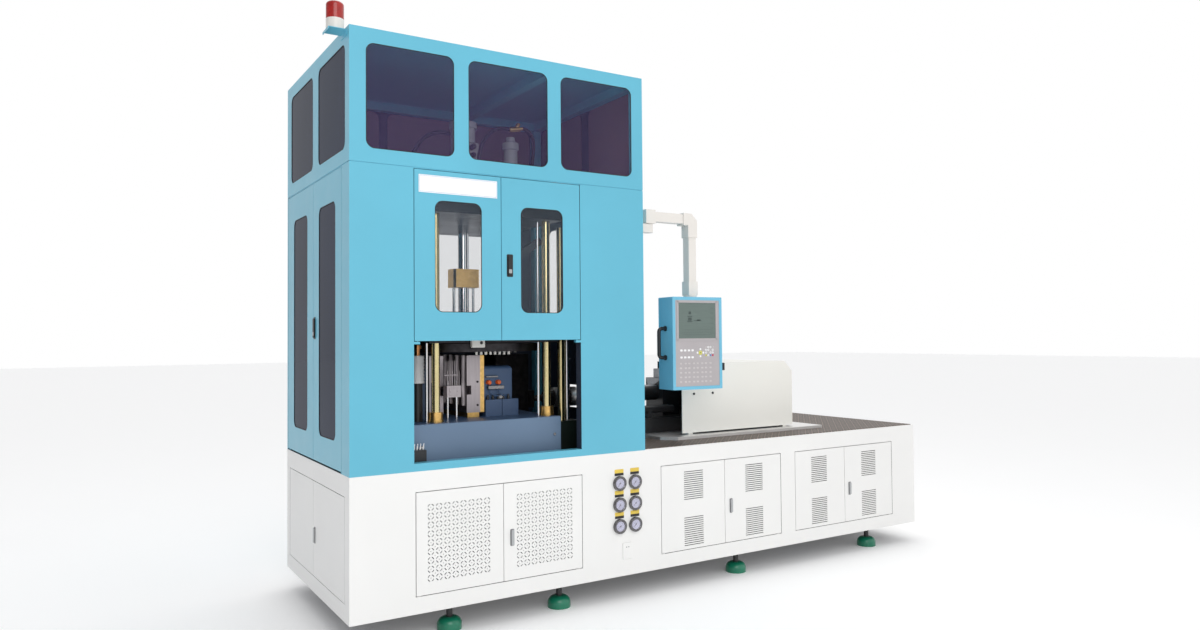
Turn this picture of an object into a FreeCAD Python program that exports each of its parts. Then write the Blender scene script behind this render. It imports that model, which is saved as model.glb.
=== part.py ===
import FreeCAD, Part
import math
import os

V = FreeCAD.Vector

# A vertical blow moulding machine: a long white base cabinet on levelling feet carries a tall blue press
# column at its left end and the injection unit, under a white cover, on the deck to the right of it.
# Millimetres. X runs along the front from left to right, Y from the front to the back, Z up from the floor.
# Sub-parts are placed from the machine's front left corner, and the finished model is shifted so that its
# origin is the middle of its footprint.

# Overall sizes
MACHINE_LENGTH = 4570.0
MACHINE_DEPTH = 1450.0
BASE_BOTTOM = 145.0
BASE_TOP = 925.0
COLUMN_WIDTH = 1910.0
COLUMN_TOP = 3345.0
HOOD_SPLIT = 2610.0

# Sheet metal and frame
SKIN = 3.0
TUBE = 60.0
TUBE_WALL = 4.0
SEAM = 4.0
PANE = 4.0
PANE_LAP = 14.0
WINDOW_RADIUS = 48.0
DECK_SHEET = 4.0
DECK_INSET = 14.0
FLANGE = 40.0

# Doors: folded pans that turn on pins near one edge
PAN_DEPTH = 22.0
PIVOT_INSET = 20.0
PIVOT_SETBACK = 9.0
PIN_RADIUS = 4.0
PIN_DISC_RADIUS = PIN_RADIUS * 1.6
PIN_FIT = 0.05
PIN_BITE = 12.0
DOOR_SWEEP = 36.0
LUG_SIZE = 22.0
LUG_HEIGHT = 14.0

# Front opening of the column, between its corner panel and its right-hand panel
FRONT_LEFT = 357.0
FRONT_RIGHT = 1432.0
FRONT_SPLIT = 892.0
SILL_TOP = 968.0
FRONT_DOOR_BOTTOM = 1640.0
CORNER_RETURN = 144.0
FRONT_WINDOWS = ((481.0, 768.0), (1020.0, 1308.0))
FRONT_WINDOW_Z = (1805.0, 2436.0)

# Left wall of the column and of the base
SIDE_FRONT = 145.0
SIDE_BACK = 1425.0
SIDE_SPLIT = 760.0
SIDE_DOOR_BOTTOM = 936.0
SIDE_WINDOWS = ((270.0, 630.0), (905.0, 1262.0))
SIDE_WINDOW_Z = (1091.0, 2435.0)
BASE_SIDE_FRONT = 90.0
BASE_SIDE_BACK = 1370.0
BASE_SIDE_SPLIT = 753.0

# Base front doors: one perforated pair and two louvred pairs
BASE_DOOR_Z = (238.0, 812.0)
VENT_PAIR = (364.0, 898.0, 1435.0)
LOUVRE_PAIRS = ((2033.0, 2575.0, 3102.0), (3241.0, 3760.0, 4302.0))
RING_COLUMNS = 8
RING_ROWS = 9
RING_PITCH = 48.8
RING_RADIUS = 19.5
SLOT_WIDTH = 4.6
SLOT_SPAN = 58.0
DOT_RADIUS = 2.4
VENT_CENTRE_OFFSET = 275.0
LOUVRE_CENTRE_OFFSET = 270.0
LOUVRE_WIDTH = 164.0
LOUVRE_HEIGHT = 5.0
LOUVRE_PITCH = 14.0
LOUVRE_COUNT = 14
LOUVRE_FIELD_Z = (359.0, 664.0)

# Locks: a lever on a shaft through the door, with a short cam behind it
LOCK_INSET = 55.0
SIDE_LOCK_INSET = 34.0
FRONT_LEVER = (26.0, 116.0)
BASE_LEVER = (18.0, 88.0)
LEVER_THICKNESS = 7.0
LEVER_STANDOFF = 3.0
LOCK_SHAFT_RADIUS = 6.0
LOCK_FIT = 0.05
CAM = (18.0, 24.0, 4.0)
CAM_DEPTH = 12.0
LEVER_NECK = 0.35
LEVER_HEAD = 0.8
FRONT_LOCK_Z = 2121.0
SIDE_LOCK_Z = 1763.0
BASE_LOCK_Z = 519.0

# Hood windows
HOOD_WINDOW_Z = (2690.0, 3265.0)
HOOD_FRONT_WINDOWS = ((90.0, 600.0), (688.0, 1208.0), (1299.0, 1824.0))
HOOD_SIDE_WINDOWS = ((78.0, 642.0), (770.0, 1340.0))
BACK_WINDOWS = ((480.0, 770.0), (1050.0, 1430.0))
BACK_WINDOW_Z = (1805.0, 2500.0)

# Levelling feet
FOOT_RADIUS = 71.0
FOOT_RIM = 30.0
FOOT_DOME = 70.0
FOOT_SHOULDER = (FOOT_RADIUS * 0.84, FOOT_DOME * 0.82)
FOOT_STEM_RADIUS = 18.0
FOOT_NUT_RADIUS = 24.0
FOOT_NUT_HEIGHT = 20.0
FOOT_X = (600.0, 1320.0, 2752.0, 4106.0)
FOOT_INSET = 100.0
FOOT_PLATE = (120.0, 42.0, 20.0)

# Press: bed, tie bars, platens and lift cylinder
BED_X = (300.0, 1370.0)
BED_Y = (150.0, 1250.0)
BED_TOP = 1165.0
TIE_X = (580.0, 1325.0)
TIE_Y = (250.0, 1150.0)
TIE_RADIUS = 25.0
TIE_TOP = 2590.0
TIE_NUT_RADIUS = 42.0
TIE_NUT_HEIGHT = 44.0
TIE_FLANGE_RADIUS = 46.0
TIE_FLANGE_HEIGHT = 14.0
SLIDE_FIT = 0.1
GUIDE_RODS = ((524.0, 250.0), (1265.0, 250.0))
GUIDE_ROD_RADIUS = 8.0
PLATEN_MARGIN = 60.0
TOP_PLATEN_MARGIN = PLATEN_MARGIN + 20
TOP_PLATEN_Z = (2400.0, 2540.0)
MOVING_PLATEN_Z = (1630.0, 1720.0)
LIFT_ROD_RADIUS = 35.0
LIFT_ROD_LENGTH = 900.0
LIFT_BARREL_RADIUS = 80.0
LIFT_FLANGE_RADIUS = LIFT_BARREL_RADIUS * 1.4
LIFT_FLANGE_HEIGHT = 30.0
LIFT_CAP_RADIUS = LIFT_BARREL_RADIUS * 1.15
LIFT_CAP_HEIGHT = 40.0
LIFT_BARREL_HEIGHT = 500.0
GUIDE_BLOCK_SIZE = (180.0, 120.0, 120.0)
GUIDE_BLOCK_CHAMFER = 14.0
GUIDE_BLOCK_RISE = 270.0
PULL_ROD_RADIUS = 9.0
PULL_ROD_OFFSET = 68.0

# Rotary table under the moving platen, with its rows of neck holders
TABLE_RADIUS = 500.0
TABLE_THICKNESS = 50.0
TABLE_GAP = 5.0
TABLE_HUB_RADIUS = 60.0
ROD_FLANGE_RADIUS = TABLE_HUB_RADIUS * 1.8
ROD_FLANGE_HEIGHT = 24.0
TABLE_HUB_HEIGHT = 80.0
STATIONS = 3
ROW_DISTANCE = 445.0
NECKS = 8
NECK_PITCH = 31.0
NECK_RADIUS = 8.0
NECK_BORE = 4.0
NECK_LENGTH = 19.0
NECK_CLEARANCE = 6.0

# Blow moulds, their clamps and the take-out comb
RUNNING_GAP = 0.3
MOULD_WIDTH = 90.0
MOULD_Y = (400.0, 900.0)
MOULD_LEFT_X = 598.0
MOULD_OPENING = 155.0
MOULD_FOOT = 30.0
MOULD_NOTCH = (30.0, 56.0)
CAVITY_FLOOR = 40.0
MOULD_FOOT_INSET = 6.0
MOULD_FOOT_SETBACK = 4.0
MOULD_NOTCH_RISE = 112.0
MOULD_STRIP = 27.0
CAVITY_RADIUS = 34.0
CAVITY_COUNT = 5
RAM_RADIUS = 32.0
RAM_BITE = 100.0
RAM_RISE = 250.0
CLAMP_GAP = 8.0
CLAMP_TOP = 1480.0
CLAMP_LENGTH = 200.0
LEFT_CLAMP_LENGTH = 120.0
CLAMP_MARGIN = 30.0
FRONT_BLOCK = (112.0, 36.0, 104.0)
FRONT_BLOCK_GAP = 4.0
CLAMP_EDGE = 24.0
COMB_BLOCK_X = (668.0, 757.0)
COMB_Y = (290.0, 350.0)
COMB_BLOCK_Z = (1303.0, 1372.0)
COMB_POSTS_INSET = 16.0
COMB_POST_RADIUS = 6.0
COMB_POST_TOP = 1400.0
COMB_PINS = 6
COMB_PIN_RADIUS = 2.5
COMB_PIN_HEIGHT = 90.0
COMB_PIN_SETBACK = 10.0

# Filter bowl at the left of the press, and the paired columns at its right
FILTER_CENTRE = (505.0, 350.0)
FILTER_RADIUS = 40.0
FILTER_Z = (1392.0, 1556.0)
FILTER_RIBS = 8
FILTER_VALLEY = FILTER_RADIUS * 0.93
FILTER_RIB_SHARE = 0.7
FILTER_POST_RADIUS = 30.0
FILTER_NECK = (16.0, 40.0)
FILTER_COLLAR = (24.0, 22.0)
COLUMN_PAIR = ((1488.0, 350.0, 25.0), (1532.0, 350.0, 14.0))
COLUMN_PAIR_TOP = 2380.0
COLUMN_BLOCK = (1455.0, 1600.0, 300.0, 420.0, 1115.0)
TERMINAL_BLOCK = (362.0, 455.0, 70.0, 138.0, 62.0)

# Injection side
INJECTION_MOULD = (1230.0, 1480.0, 800.0, 1060.0, 1545.0)
SPRUE_SEAT_LENGTH = 40.0
SPRUE_SEAT_HALF = 60.0
BARREL_Y = 850.0
BARREL_Z = 1230.0
BARREL_RADIUS = 60.0
BARREL_X = (1640.0, 2760.0)
NOZZLE_RADIUS = 22.0
NOZZLE_TIP_RADIUS = NOZZLE_RADIUS / 2
NOZZLE_CONE = 40.0
STAND_INSET = 40.0
STAND_HALF = 110.0
FRONT_STAND_LENGTH = 80.0
REAR_STAND_LENGTH = 160.0
THROAT_SETBACK = 30.0
THROAT_WIDTH = 100.0
THROAT_HEIGHT = 70.0
DRIVE_SETBACK = 60.0
SHIFT_CYLINDER_OFFSETS = (-230.0, -170.0)
SHIFT_CYLINDER_RADIUS = 26.0
SHIFT_CYLINDER_RISE = 60.0
SHIFT_CYLINDER_START = 60.0
SHIFT_CYLINDER_REACH = 300.0
SHIFT_FOOT = (60.0, 90.0)
NOZZLE_GAP = 12.0
CARRIAGE_X = (2300.0, 3300.0)
CARRIAGE_TOP = 1060.0
RAIL_Y = (620.0, 1010.0)
RAIL_WIDTH = 50.0
RAIL_HEIGHT = 40.0
RAIL_LEAD = 10.0
RAIL_SETBACK = 20.0
CARRIAGE_OVERHANG = RAIL_WIDTH * 0.8
TRAY_X = (2280.0, 3790.0)
TRAY_Y = (250.0, 1180.0)
TRAY_CORNER = 90.0
TRAY_THICKNESS = 20.0
COVER_X = (2485.0, 3570.0)
COVER_Y = (350.0, 1100.0)
COVER_Z = (963.0, 1462.0)
COVER_CORNER = 78.0
COVER_HOLES = ((107.0, 278.0), (282.0, 280.0))
COVER_FOOT = 40.0
COVER_FOOT_INSET = 60.0
COVER_HOLE_RADIUS = 7.0
COVER_SHEET = SKIN * 2
COVER_SLANT = 330.0
SIDE_CUTOUT_Y = (240.0, 1210.0)
SIDE_CUTOUT_TOP = 1500.0
SIDE_PANEL_WINDOW_Z = (1805.0, 2480.0)

# Hydraulics in the base
TANK_X = (2150.0, 3000.0)
TANK_Y = (500.0, 1330.0)
TANK_Z = (215.0, 780.0)
SKID_INSET = 40.0
HATCH_RADIUS = 150.0
HATCH_THICKNESS = 12.0
MOTOR_X = (3250.0, 3700.0)
MOTOR_RADIUS = 150.0
DRIVE_RADIUS = MOTOR_RADIUS * 0.8
MOTOR_FOOT_INSET = 60.0
MOTOR_FOOT_HALF = 140.0
MOTOR_FOOT_LAP = 40.0
CROSS_PLATE = 20.0
BELL_RADIUS = MOTOR_RADIUS * 0.55
BELL_LENGTH = 90.0
PUMP_RADIUS = MOTOR_RADIUS * 0.4
MOTOR_AXIS = (800.0, 430.0)

# Pressure gauges
GAUGE_X = (1706.0, 1825.0)
GAUGE_Z = (461.0, 596.0, 731.0)
GAUGE_RADIUS = 46.5
GAUGE_BEZEL = 5.0
GAUGE_CHAMFER = 3.0
GAUGE_PROUD = 20.0
GAUGE_BACK = 40.0
GAUGE_BODY_RADIUS = 38.0
GAUGE_DIAL_DEPTH = 8.0

# Control arm and panel
ARM_PIVOT = (2010.0, 88.0)
ARM_TUBE = 62.0
ARM_Z = (2425.0, 2489.0)
ARM_SLEEVE = 76.0
PIVOT_PIN_RADIUS = 20.0
PIVOT_PIN_LENGTH = 30.0
PIVOT_PIN_DEPTH = 40.0
BRACKET_HEIGHT = 56.0
BRACKET_LAP = 10.0
BRACKET_FLOOR = 12.0
BRACKET_NOSE = ARM_TUBE * 0.4
STUB_RADIUS = ARM_TUBE * 0.425
TEE_LIP = (16.0, 12.0)
PIVOT_FIT = 0.05
ARM_REACH = 350.0
ELBOW = 76.0
ELBOW_NOSE = ARM_SLEEVE / 2
ELBOW_DROP = 92.0
ELBOW_LIP = 8.0
ELBOW_THROAT = 10.0
ELBOW_CHAMFER = 46.0
SLEEVE_HEIGHT = 96.0
PANEL_YAW = -4.1
PANEL_WIDTH = 401.0
PANEL_HEIGHT = 624.0
PANEL_DEPTH = 176.0
PANEL_TOP = 1924.0
PANEL_WALL = 3.0
FACE_MARGIN = 22.0
FACE_RECESS = 2.0
FACE_THICKNESS = 6.0
FACE_CORNER = 4.0
FACE_RIM = 14.0
CASE_EDGE = 5.0
COLLAR_HEIGHT = 14.0
COLLAR_RADIUS = 46.0
SPIGOT_RADIUS = 24.0
SPIGOT_LENGTH = 90.0
SPIGOT_END_GAP = 4.0
HANDLE_DROP = (212.0, 408.0)
HANDLE_PROUD = 66.0
HANDLE_ROD = 12.5
HANDLE_BEND = 24.0
HANDLE_FOOT = (HANDLE_ROD * 1.4, 8.0)
KNOB_DROP = 476.0
KNOB_RADIUS = 26.0
KNOB_PROUD = 40.0
KNOB_SETBACK = 36.0
KNOB_SHAFT = 5.0
KNOB_SHAFT_END = 7.0
KNOB_SKIRT = 10.0
KNOB_GRIP_HALF = 8.0
KNOB_GRIP_EDGE = 4.0

# Beacon
SHELF_X = -100.0
SHELF_Y = (35.0, 155.0)
SHELF_TOP = 3328.0
SHELF_LIP = 30.0
SHELF_EDGE = 14.0
BEACON_CENTRE = (-50.0, 92.0)
BEACON_RADIUS = 47.5
BEACON_BASE = 57.0
BEACON_LENS = 96.0
BEACON_BOSS = 10.0
BEACON_BOSS_HEIGHT = 8.0
BEACON_CHAMFER = 3.0
BEACON_DOME = 18.0

# Worked out from the sizes above
FRONT_REACH = GAUGE_PROUD
ORIGIN_X = (SHELF_X + MACHINE_LENGTH) / 2
FRAME_TOP = BASE_TOP - SKIN
PRESS_X = sum(TIE_X) / 2
PRESS_Y = sum(TIE_Y) / 2
TABLE_TOP = MOVING_PLATEN_Z[0] - TABLE_GAP
TABLE_BOTTOM = TABLE_TOP - TABLE_THICKNESS
MOULD_TOP = TABLE_BOTTOM - NECK_LENGTH - NECK_CLEARANCE
MOULD_RIGHT_X = MOULD_LEFT_X + MOULD_WIDTH + MOULD_OPENING
PANEL_AXIS_X = ARM_PIVOT[0] + ARM_REACH


def box(x, y, z):
    """A block between the two ends given for each axis."""
    return Part.makeBox(x[1] - x[0], y[1] - y[0], z[1] - z[0], V(x[0], y[0], z[0]))


def post(centre, radius, z):
    """An upright round bar."""
    return Part.makeCylinder(radius, z[1] - z[0], V(centre[0], centre[1], z[0]))


def bar_x(centre, radius, x):
    """A round bar along X, where centre is its (y, z)."""
    return Part.makeCylinder(radius, x[1] - x[0], V(x[0], centre[0], centre[1]), V(1, 0, 0))


def ring(centre, outer, inner, z):
    """An upright bush."""
    return post(centre, outer, z).cut(post(centre, inner, (z[0] - 1, z[1] + 1)))


def tube(x, y, z, axis):
    """A box-section tube, open at its two ends along the axis named."""
    spans = {"x": x, "y": y, "z": z}
    inner = {}
    for name, span in spans.items():
        trim = -1.0 if name == axis else TUBE_WALL
        inner[name] = (span[0] + trim, span[1] - trim)
    return box(x, y, z).cut(box(inner["x"], inner["y"], inner["z"]))


def rounded_wire(x, z, radius, y=0.0):
    """A rectangle with round corners in the plane facing the front."""
    mid = radius * (1 - math.sqrt(0.5))
    edges = []
    corners = (
        (V(x[0], y, z[0] + radius), V(x[0] + mid, y, z[0] + mid), V(x[0] + radius, y, z[0])),
        (V(x[1] - radius, y, z[0]), V(x[1] - mid, y, z[0] + mid), V(x[1], y, z[0] + radius)),
        (V(x[1], y, z[1] - radius), V(x[1] - mid, y, z[1] - mid), V(x[1] - radius, y, z[1])),
        (V(x[0] + radius, y, z[1]), V(x[0] + mid, y, z[1] - mid), V(x[0], y, z[1] - radius)),
    )
    for index, (start, middle, end) in enumerate(corners):
        edges.append(Part.Arc(start, middle, end).toShape())
        following = corners[(index + 1) % len(corners)][0]
        edges.append(Part.makeLine(end, following))
    return Part.Wire(edges)


def rounded_plate(x, z, radius, y):
    """A flat plate with round corners, between two depths."""
    face = Part.Face(rounded_wire(x, z, radius, y[0]))
    return face.extrude(V(0, y[1] - y[0], 0))


def rectangle_wire(x, z):
    points = [V(x[0], 0, z[0]), V(x[1], 0, z[0]), V(x[1], 0, z[1]), V(x[0], 0, z[1])]
    return Part.makePolygon(points + points[:1])


def circle_wire(centre, radius):
    return Part.Wire([Part.makeCircle(radius, V(centre[0], 0, centre[1]), V(0, 1, 0))])


def slot_wire(centre, angle):
    """A curved slot: one part of a ring about the centre, around the angle given."""
    outer = RING_RADIUS
    inner = RING_RADIUS - SLOT_WIDTH

    def point(radius, degrees):
        turn = math.radians(degrees)
        return V(centre[0] + radius * math.cos(turn), 0, centre[1] + radius * math.sin(turn))

    first = angle - SLOT_SPAN / 2
    last = angle + SLOT_SPAN / 2
    return Part.Wire([
        Part.Arc(point(outer, first), point(outer, angle), point(outer, last)).toShape(),
        Part.makeLine(point(outer, last), point(inner, last)),
        Part.Arc(point(inner, last), point(inner, angle), point(inner, first)).toShape(),
        Part.makeLine(point(inner, first), point(outer, first)),
    ])


def pierced_sheet(x, z, holes):
    """A flat sheet at the front plane, with a list of closed outlines cut out of it."""
    face = Part.makeFace([rectangle_wire(x, z)] + holes, "Part::FaceMakerBullseye")
    return face.extrude(V(0, SKIN, 0))


def ring_pattern(centre_x, centre_z):
    """Rows of four-slot rings, with a small hole in each ring and one between each four rings."""
    holes = []
    for column in range(RING_COLUMNS):
        x = centre_x + (column - (RING_COLUMNS - 1) / 2) * RING_PITCH
        for row in range(RING_ROWS):
            z = centre_z + (row - (RING_ROWS - 1) / 2) * RING_PITCH
            for quarter in range(4):
                holes.append(slot_wire((x, z), 45 + 90 * quarter))
            holes.append(circle_wire((x, z), DOT_RADIUS))
            if column < RING_COLUMNS - 1 and row < RING_ROWS - 1:
                holes.append(circle_wire((x + RING_PITCH / 2, z + RING_PITCH / 2), DOT_RADIUS))
    return holes


def louvre_pattern(centre_x):
    """Two fields of level slots, one above the other."""
    holes = []
    for centre_z in LOUVRE_FIELD_Z:
        for row in range(LOUVRE_COUNT):
            z = centre_z + (row - (LOUVRE_COUNT - 1) / 2) * LOUVRE_PITCH
            half = LOUVRE_HEIGHT / 2
            ends = (centre_x - LOUVRE_WIDTH / 2, centre_x + LOUVRE_WIDTH / 2)
            holes.append(rounded_wire(ends, (z - half, z + half), half * 0.9))
    return holes


def pan_door(x, z, pivot_x, holes, lock=None):
    """A door folded from sheet, facing the front: a skin, four returns and bored hinge tabs."""
    if lock:
        holes = holes + [circle_wire(lock, LOCK_SHAFT_RADIUS + LOCK_FIT)]
    rim = box(x, (SKIN, PAN_DEPTH), z)
    hollow = box((x[0] + SKIN, x[1] - SKIN), (0, PAN_DEPTH + 1), (z[0] + SKIN, z[1] - SKIN))
    door = pierced_sheet(x, z, holes).fuse(rim.cut(hollow))
    pin = post((pivot_x, PIVOT_SETBACK), PIN_RADIUS + PIN_FIT, (z[0] - 1, z[1] + 1))
    return door.cut(pin).removeSplitter()


def door_pair(left, split, right, z, hole_sets, lock_inset, lock_z, lock_on_right=True):
    """Two doors that meet at a split, hinged at their outer edges."""
    spans = ((left + SEAM, split - SEAM / 2), (split + SEAM / 2, right - SEAM))
    height = (z[0] + SEAM, z[1] - SEAM)
    lock_x = split + lock_inset if lock_on_right else split - lock_inset
    doors = []
    for side, span in enumerate(spans):
        pivot_x = span[0] + PIVOT_INSET if side == 0 else span[1] - PIVOT_INSET
        lock = (lock_x, lock_z) if lock_on_right == (side == 1) else None
        doors.append(pan_door(span, height, pivot_x, hole_sets[side], lock))
    return doors


def pivot_pins(left, right, z, lugs=True):
    """Hinge pins at the top and bottom of a door pair, each on a lug behind the wall."""
    pieces = []
    for x in (left + SEAM + PIVOT_INSET, right - SEAM - PIVOT_INSET):
        for edge, direction in ((z[0], 1), (z[1], -1)):
            tip = edge + direction * (SEAM + PIN_BITE)
            pin = post((x, PIVOT_SETBACK), PIN_RADIUS, (min(edge, tip), max(edge, tip)))
            if lugs:
                base = edge - direction * LUG_HEIGHT
                span = (min(edge, base), max(edge, base))
                half = LUG_SIZE / 2
                pin = pin.fuse(box((x - half, x + half), (SKIN, SKIN + LUG_SIZE), span))
            pieces.append(pin)
    return pieces


def lock_lever(x, z, size):
    """A lever in front of a door, its shaft through the skin and a cam behind."""
    width, length = size
    radius = width * LEVER_NECK
    front = -LEVER_STANDOFF - LEVER_THICKNESS
    grip = length - width * LEVER_HEAD
    plate = rounded_plate(
        (x - width / 2, x + width / 2), (z - grip, z + length - grip), radius, (front, -LEVER_STANDOFF)
    )
    shaft = Part.makeCylinder(
        LOCK_SHAFT_RADIUS, CAM_DEPTH + CAM[2] - front - 1, V(x, front + 1, z), V(0, 1, 0)
    )
    cam_z = (z - CAM[1], z + CAM[0] / 2)
    cam = box((x - CAM[0] / 2, x + CAM[0] / 2), (CAM_DEPTH, CAM_DEPTH + CAM[2]), cam_z)
    return plate.fuse([shaft, cam]).removeSplitter()


def to_left_wall(shape, back):
    """Turns a piece built facing the front so that it faces left, its start at the depth given."""
    turned = shape.copy()
    turned.rotate(V(0, 0, 0), V(0, 0, 1), -90)
    turned.translate(V(0, back, 0))
    return turned


def base_frame():
    """Box-section tubes under the base cabinet."""
    low = (BASE_BOTTOM, BASE_BOTTOM + TUBE)
    high = (FRAME_TOP - TUBE, FRAME_TOP)
    front = (SKIN, SKIN + TUBE)
    back = (MACHINE_DEPTH - SKIN - TUBE, MACHINE_DEPTH - SKIN)
    posts_x = [SKIN, VENT_PAIR[0] - SEAM - TUBE, VENT_PAIR[2] + SEAM]
    for pair in LOUVRE_PAIRS:
        posts_x.append(pair[0] - SEAM - TUBE)
    posts_x.append(LOUVRE_PAIRS[1][2] + SEAM)
    posts_x.append(MACHINE_LENGTH - SKIN - TUBE)
    pieces = []
    for rail_y in (front, back):
        for rail_z in (low, high):
            pieces.append(tube((SKIN, MACHINE_LENGTH - SKIN), rail_y, rail_z, "x"))
    for x in posts_x:
        span = (x, x + TUBE)
        for rail_y in (front, back):
            pieces.append(tube(span, rail_y, (low[1], high[0]), "z"))
        for rail_z in (low, high):
            pieces.append(tube(span, (front[1], back[0]), rail_z, "y"))
    width, reach, thickness = FOOT_PLATE
    for x in FOOT_X:
        span = (x - width / 2, x + width / 2)
        plate_z = (BASE_BOTTOM, BASE_BOTTOM + thickness)
        pieces.append(box(span, (front[1], FOOT_INSET + reach), plate_z))
        pieces.append(box(span, (MACHINE_DEPTH - FOOT_INSET - reach, back[0]), plate_z))
    return pieces


def base_cabinet():
    """White cladding panels of the base, butted edge to edge, with the hinge lugs of its doors."""
    wall = (BASE_BOTTOM, BASE_TOP)
    lower = (wall[0], BASE_DOOR_Z[0])
    upper = (BASE_DOOR_Z[1], wall[1])
    middle = BASE_DOOR_Z
    full = (0, MACHINE_LENGTH)
    sheet = (0, SKIN)
    pieces = [box(full, sheet, lower), box(full, sheet, upper)]
    edges = [0, VENT_PAIR[0], VENT_PAIR[2], LOUVRE_PAIRS[0][0], LOUVRE_PAIRS[0][2]]
    edges += [LOUVRE_PAIRS[1][0], LOUVRE_PAIRS[1][2], MACHINE_LENGTH]
    for index in range(0, len(edges), 2):
        panel = box((edges[index], edges[index + 1]), sheet, middle)
        for x in GAUGE_X:
            for z in GAUGE_Z:
                panel = panel.cut(
                    Part.makeCylinder(GAUGE_BODY_RADIUS, SKIN + 2, V(x, -1, z), V(0, 1, 0))
                )
        pieces.append(panel)
    inner = (SKIN, MACHINE_DEPTH - SKIN)
    for z in (lower, upper):
        pieces.append(box(sheet, inner, z))
    pieces.append(box(sheet, (inner[0], BASE_SIDE_FRONT), middle))
    pieces.append(box(sheet, (BASE_SIDE_BACK, inner[1]), middle))
    pieces.append(box((MACHINE_LENGTH - SKIN, MACHINE_LENGTH), inner, wall))
    pieces.append(box(full, (inner[1], MACHINE_DEPTH), wall))
    flange_z = (BASE_TOP, BASE_TOP + SKIN)
    deck = (COLUMN_WIDTH, MACHINE_LENGTH)
    pieces.append(box(deck, (0, FLANGE), flange_z))
    pieces.append(box(deck, (MACHINE_DEPTH - FLANGE, MACHINE_DEPTH), flange_z))
    across = (FLANGE, MACHINE_DEPTH - FLANGE)
    pieces.append(box((MACHINE_LENGTH - FLANGE, MACHINE_LENGTH), across, flange_z))
    for pair in (VENT_PAIR,) + LOUVRE_PAIRS:
        pieces += pivot_pins(pair[0], pair[2], middle)
    side = pivot_pins(0, BASE_SIDE_BACK - BASE_SIDE_FRONT, middle)
    pieces += [to_left_wall(pin, BASE_SIDE_BACK) for pin in side]
    return pieces


def deck_plates():
    """The floor sheet in the column and the tread plate over the rest of the base."""
    floor = box((SKIN, COLUMN_WIDTH - SKIN), (SKIN, MACHINE_DEPTH - SKIN), (FRAME_TOP, BASE_TOP))
    z = (BASE_TOP + SKIN, BASE_TOP + SKIN + DECK_SHEET)
    y = (DECK_INSET, MACHINE_DEPTH - DECK_INSET)
    deck = box((COLUMN_WIDTH + SEAM, MACHINE_LENGTH - DECK_INSET), y, z)
    packing = box(
        (COLUMN_WIDTH, MACHINE_LENGTH - FLANGE),
        (FLANGE, MACHINE_DEPTH - FLANGE),
        (FRAME_TOP, BASE_TOP + SKIN),
    )
    return [floor, deck, packing]


def levelling_feet():
    """Eight domed machine mounts with their stems and lock nuts."""
    pieces = []
    for x in FOOT_X:
        for y in (FOOT_INSET, MACHINE_DEPTH - FOOT_INSET):
            outline = Part.Wire([
                Part.makeLine(V(0, 0, 0), V(FOOT_RADIUS, 0, 0)),
                Part.makeLine(V(FOOT_RADIUS, 0, 0), V(FOOT_RADIUS, 0, FOOT_RIM)),
                Part.Arc(
                    V(FOOT_RADIUS, 0, FOOT_RIM),
                    V(FOOT_SHOULDER[0], 0, FOOT_SHOULDER[1]),
                    V(FOOT_NUT_RADIUS, 0, FOOT_DOME),
                ).toShape(),
                Part.makeLine(V(FOOT_NUT_RADIUS, 0, FOOT_DOME), V(0, 0, FOOT_DOME)),
                Part.makeLine(V(0, 0, FOOT_DOME), V(0, 0, 0)),
            ])
            dome = Part.Face(outline).revolve(V(0, 0, 0), V(0, 0, 1), 360)
            dome.translate(V(x, y, 0))
            stem = post((x, y), FOOT_STEM_RADIUS, (FOOT_DOME, BASE_BOTTOM))
            nut = Part.Face(Part.makePolygon(
                [V(x + FOOT_NUT_RADIUS * math.cos(math.radians(60 * k)),
                   y + FOOT_NUT_RADIUS * math.sin(math.radians(60 * k)),
                   BASE_BOTTOM - FOOT_NUT_HEIGHT) for k in range(7)]
            )).extrude(V(0, 0, FOOT_NUT_HEIGHT))
            pieces += [dome, stem.fuse(nut).removeSplitter()]
    return pieces


def press_bed():
    """The heavy bed slab, with chamfered upper edges."""
    slab = box(BED_X, BED_Y, (BASE_TOP, BED_TOP))
    top_edges = [e for e in slab.Edges if e.BoundBox.ZMin > BED_TOP - 1]
    return [slab.makeChamfer(4, top_edges)]


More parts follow.
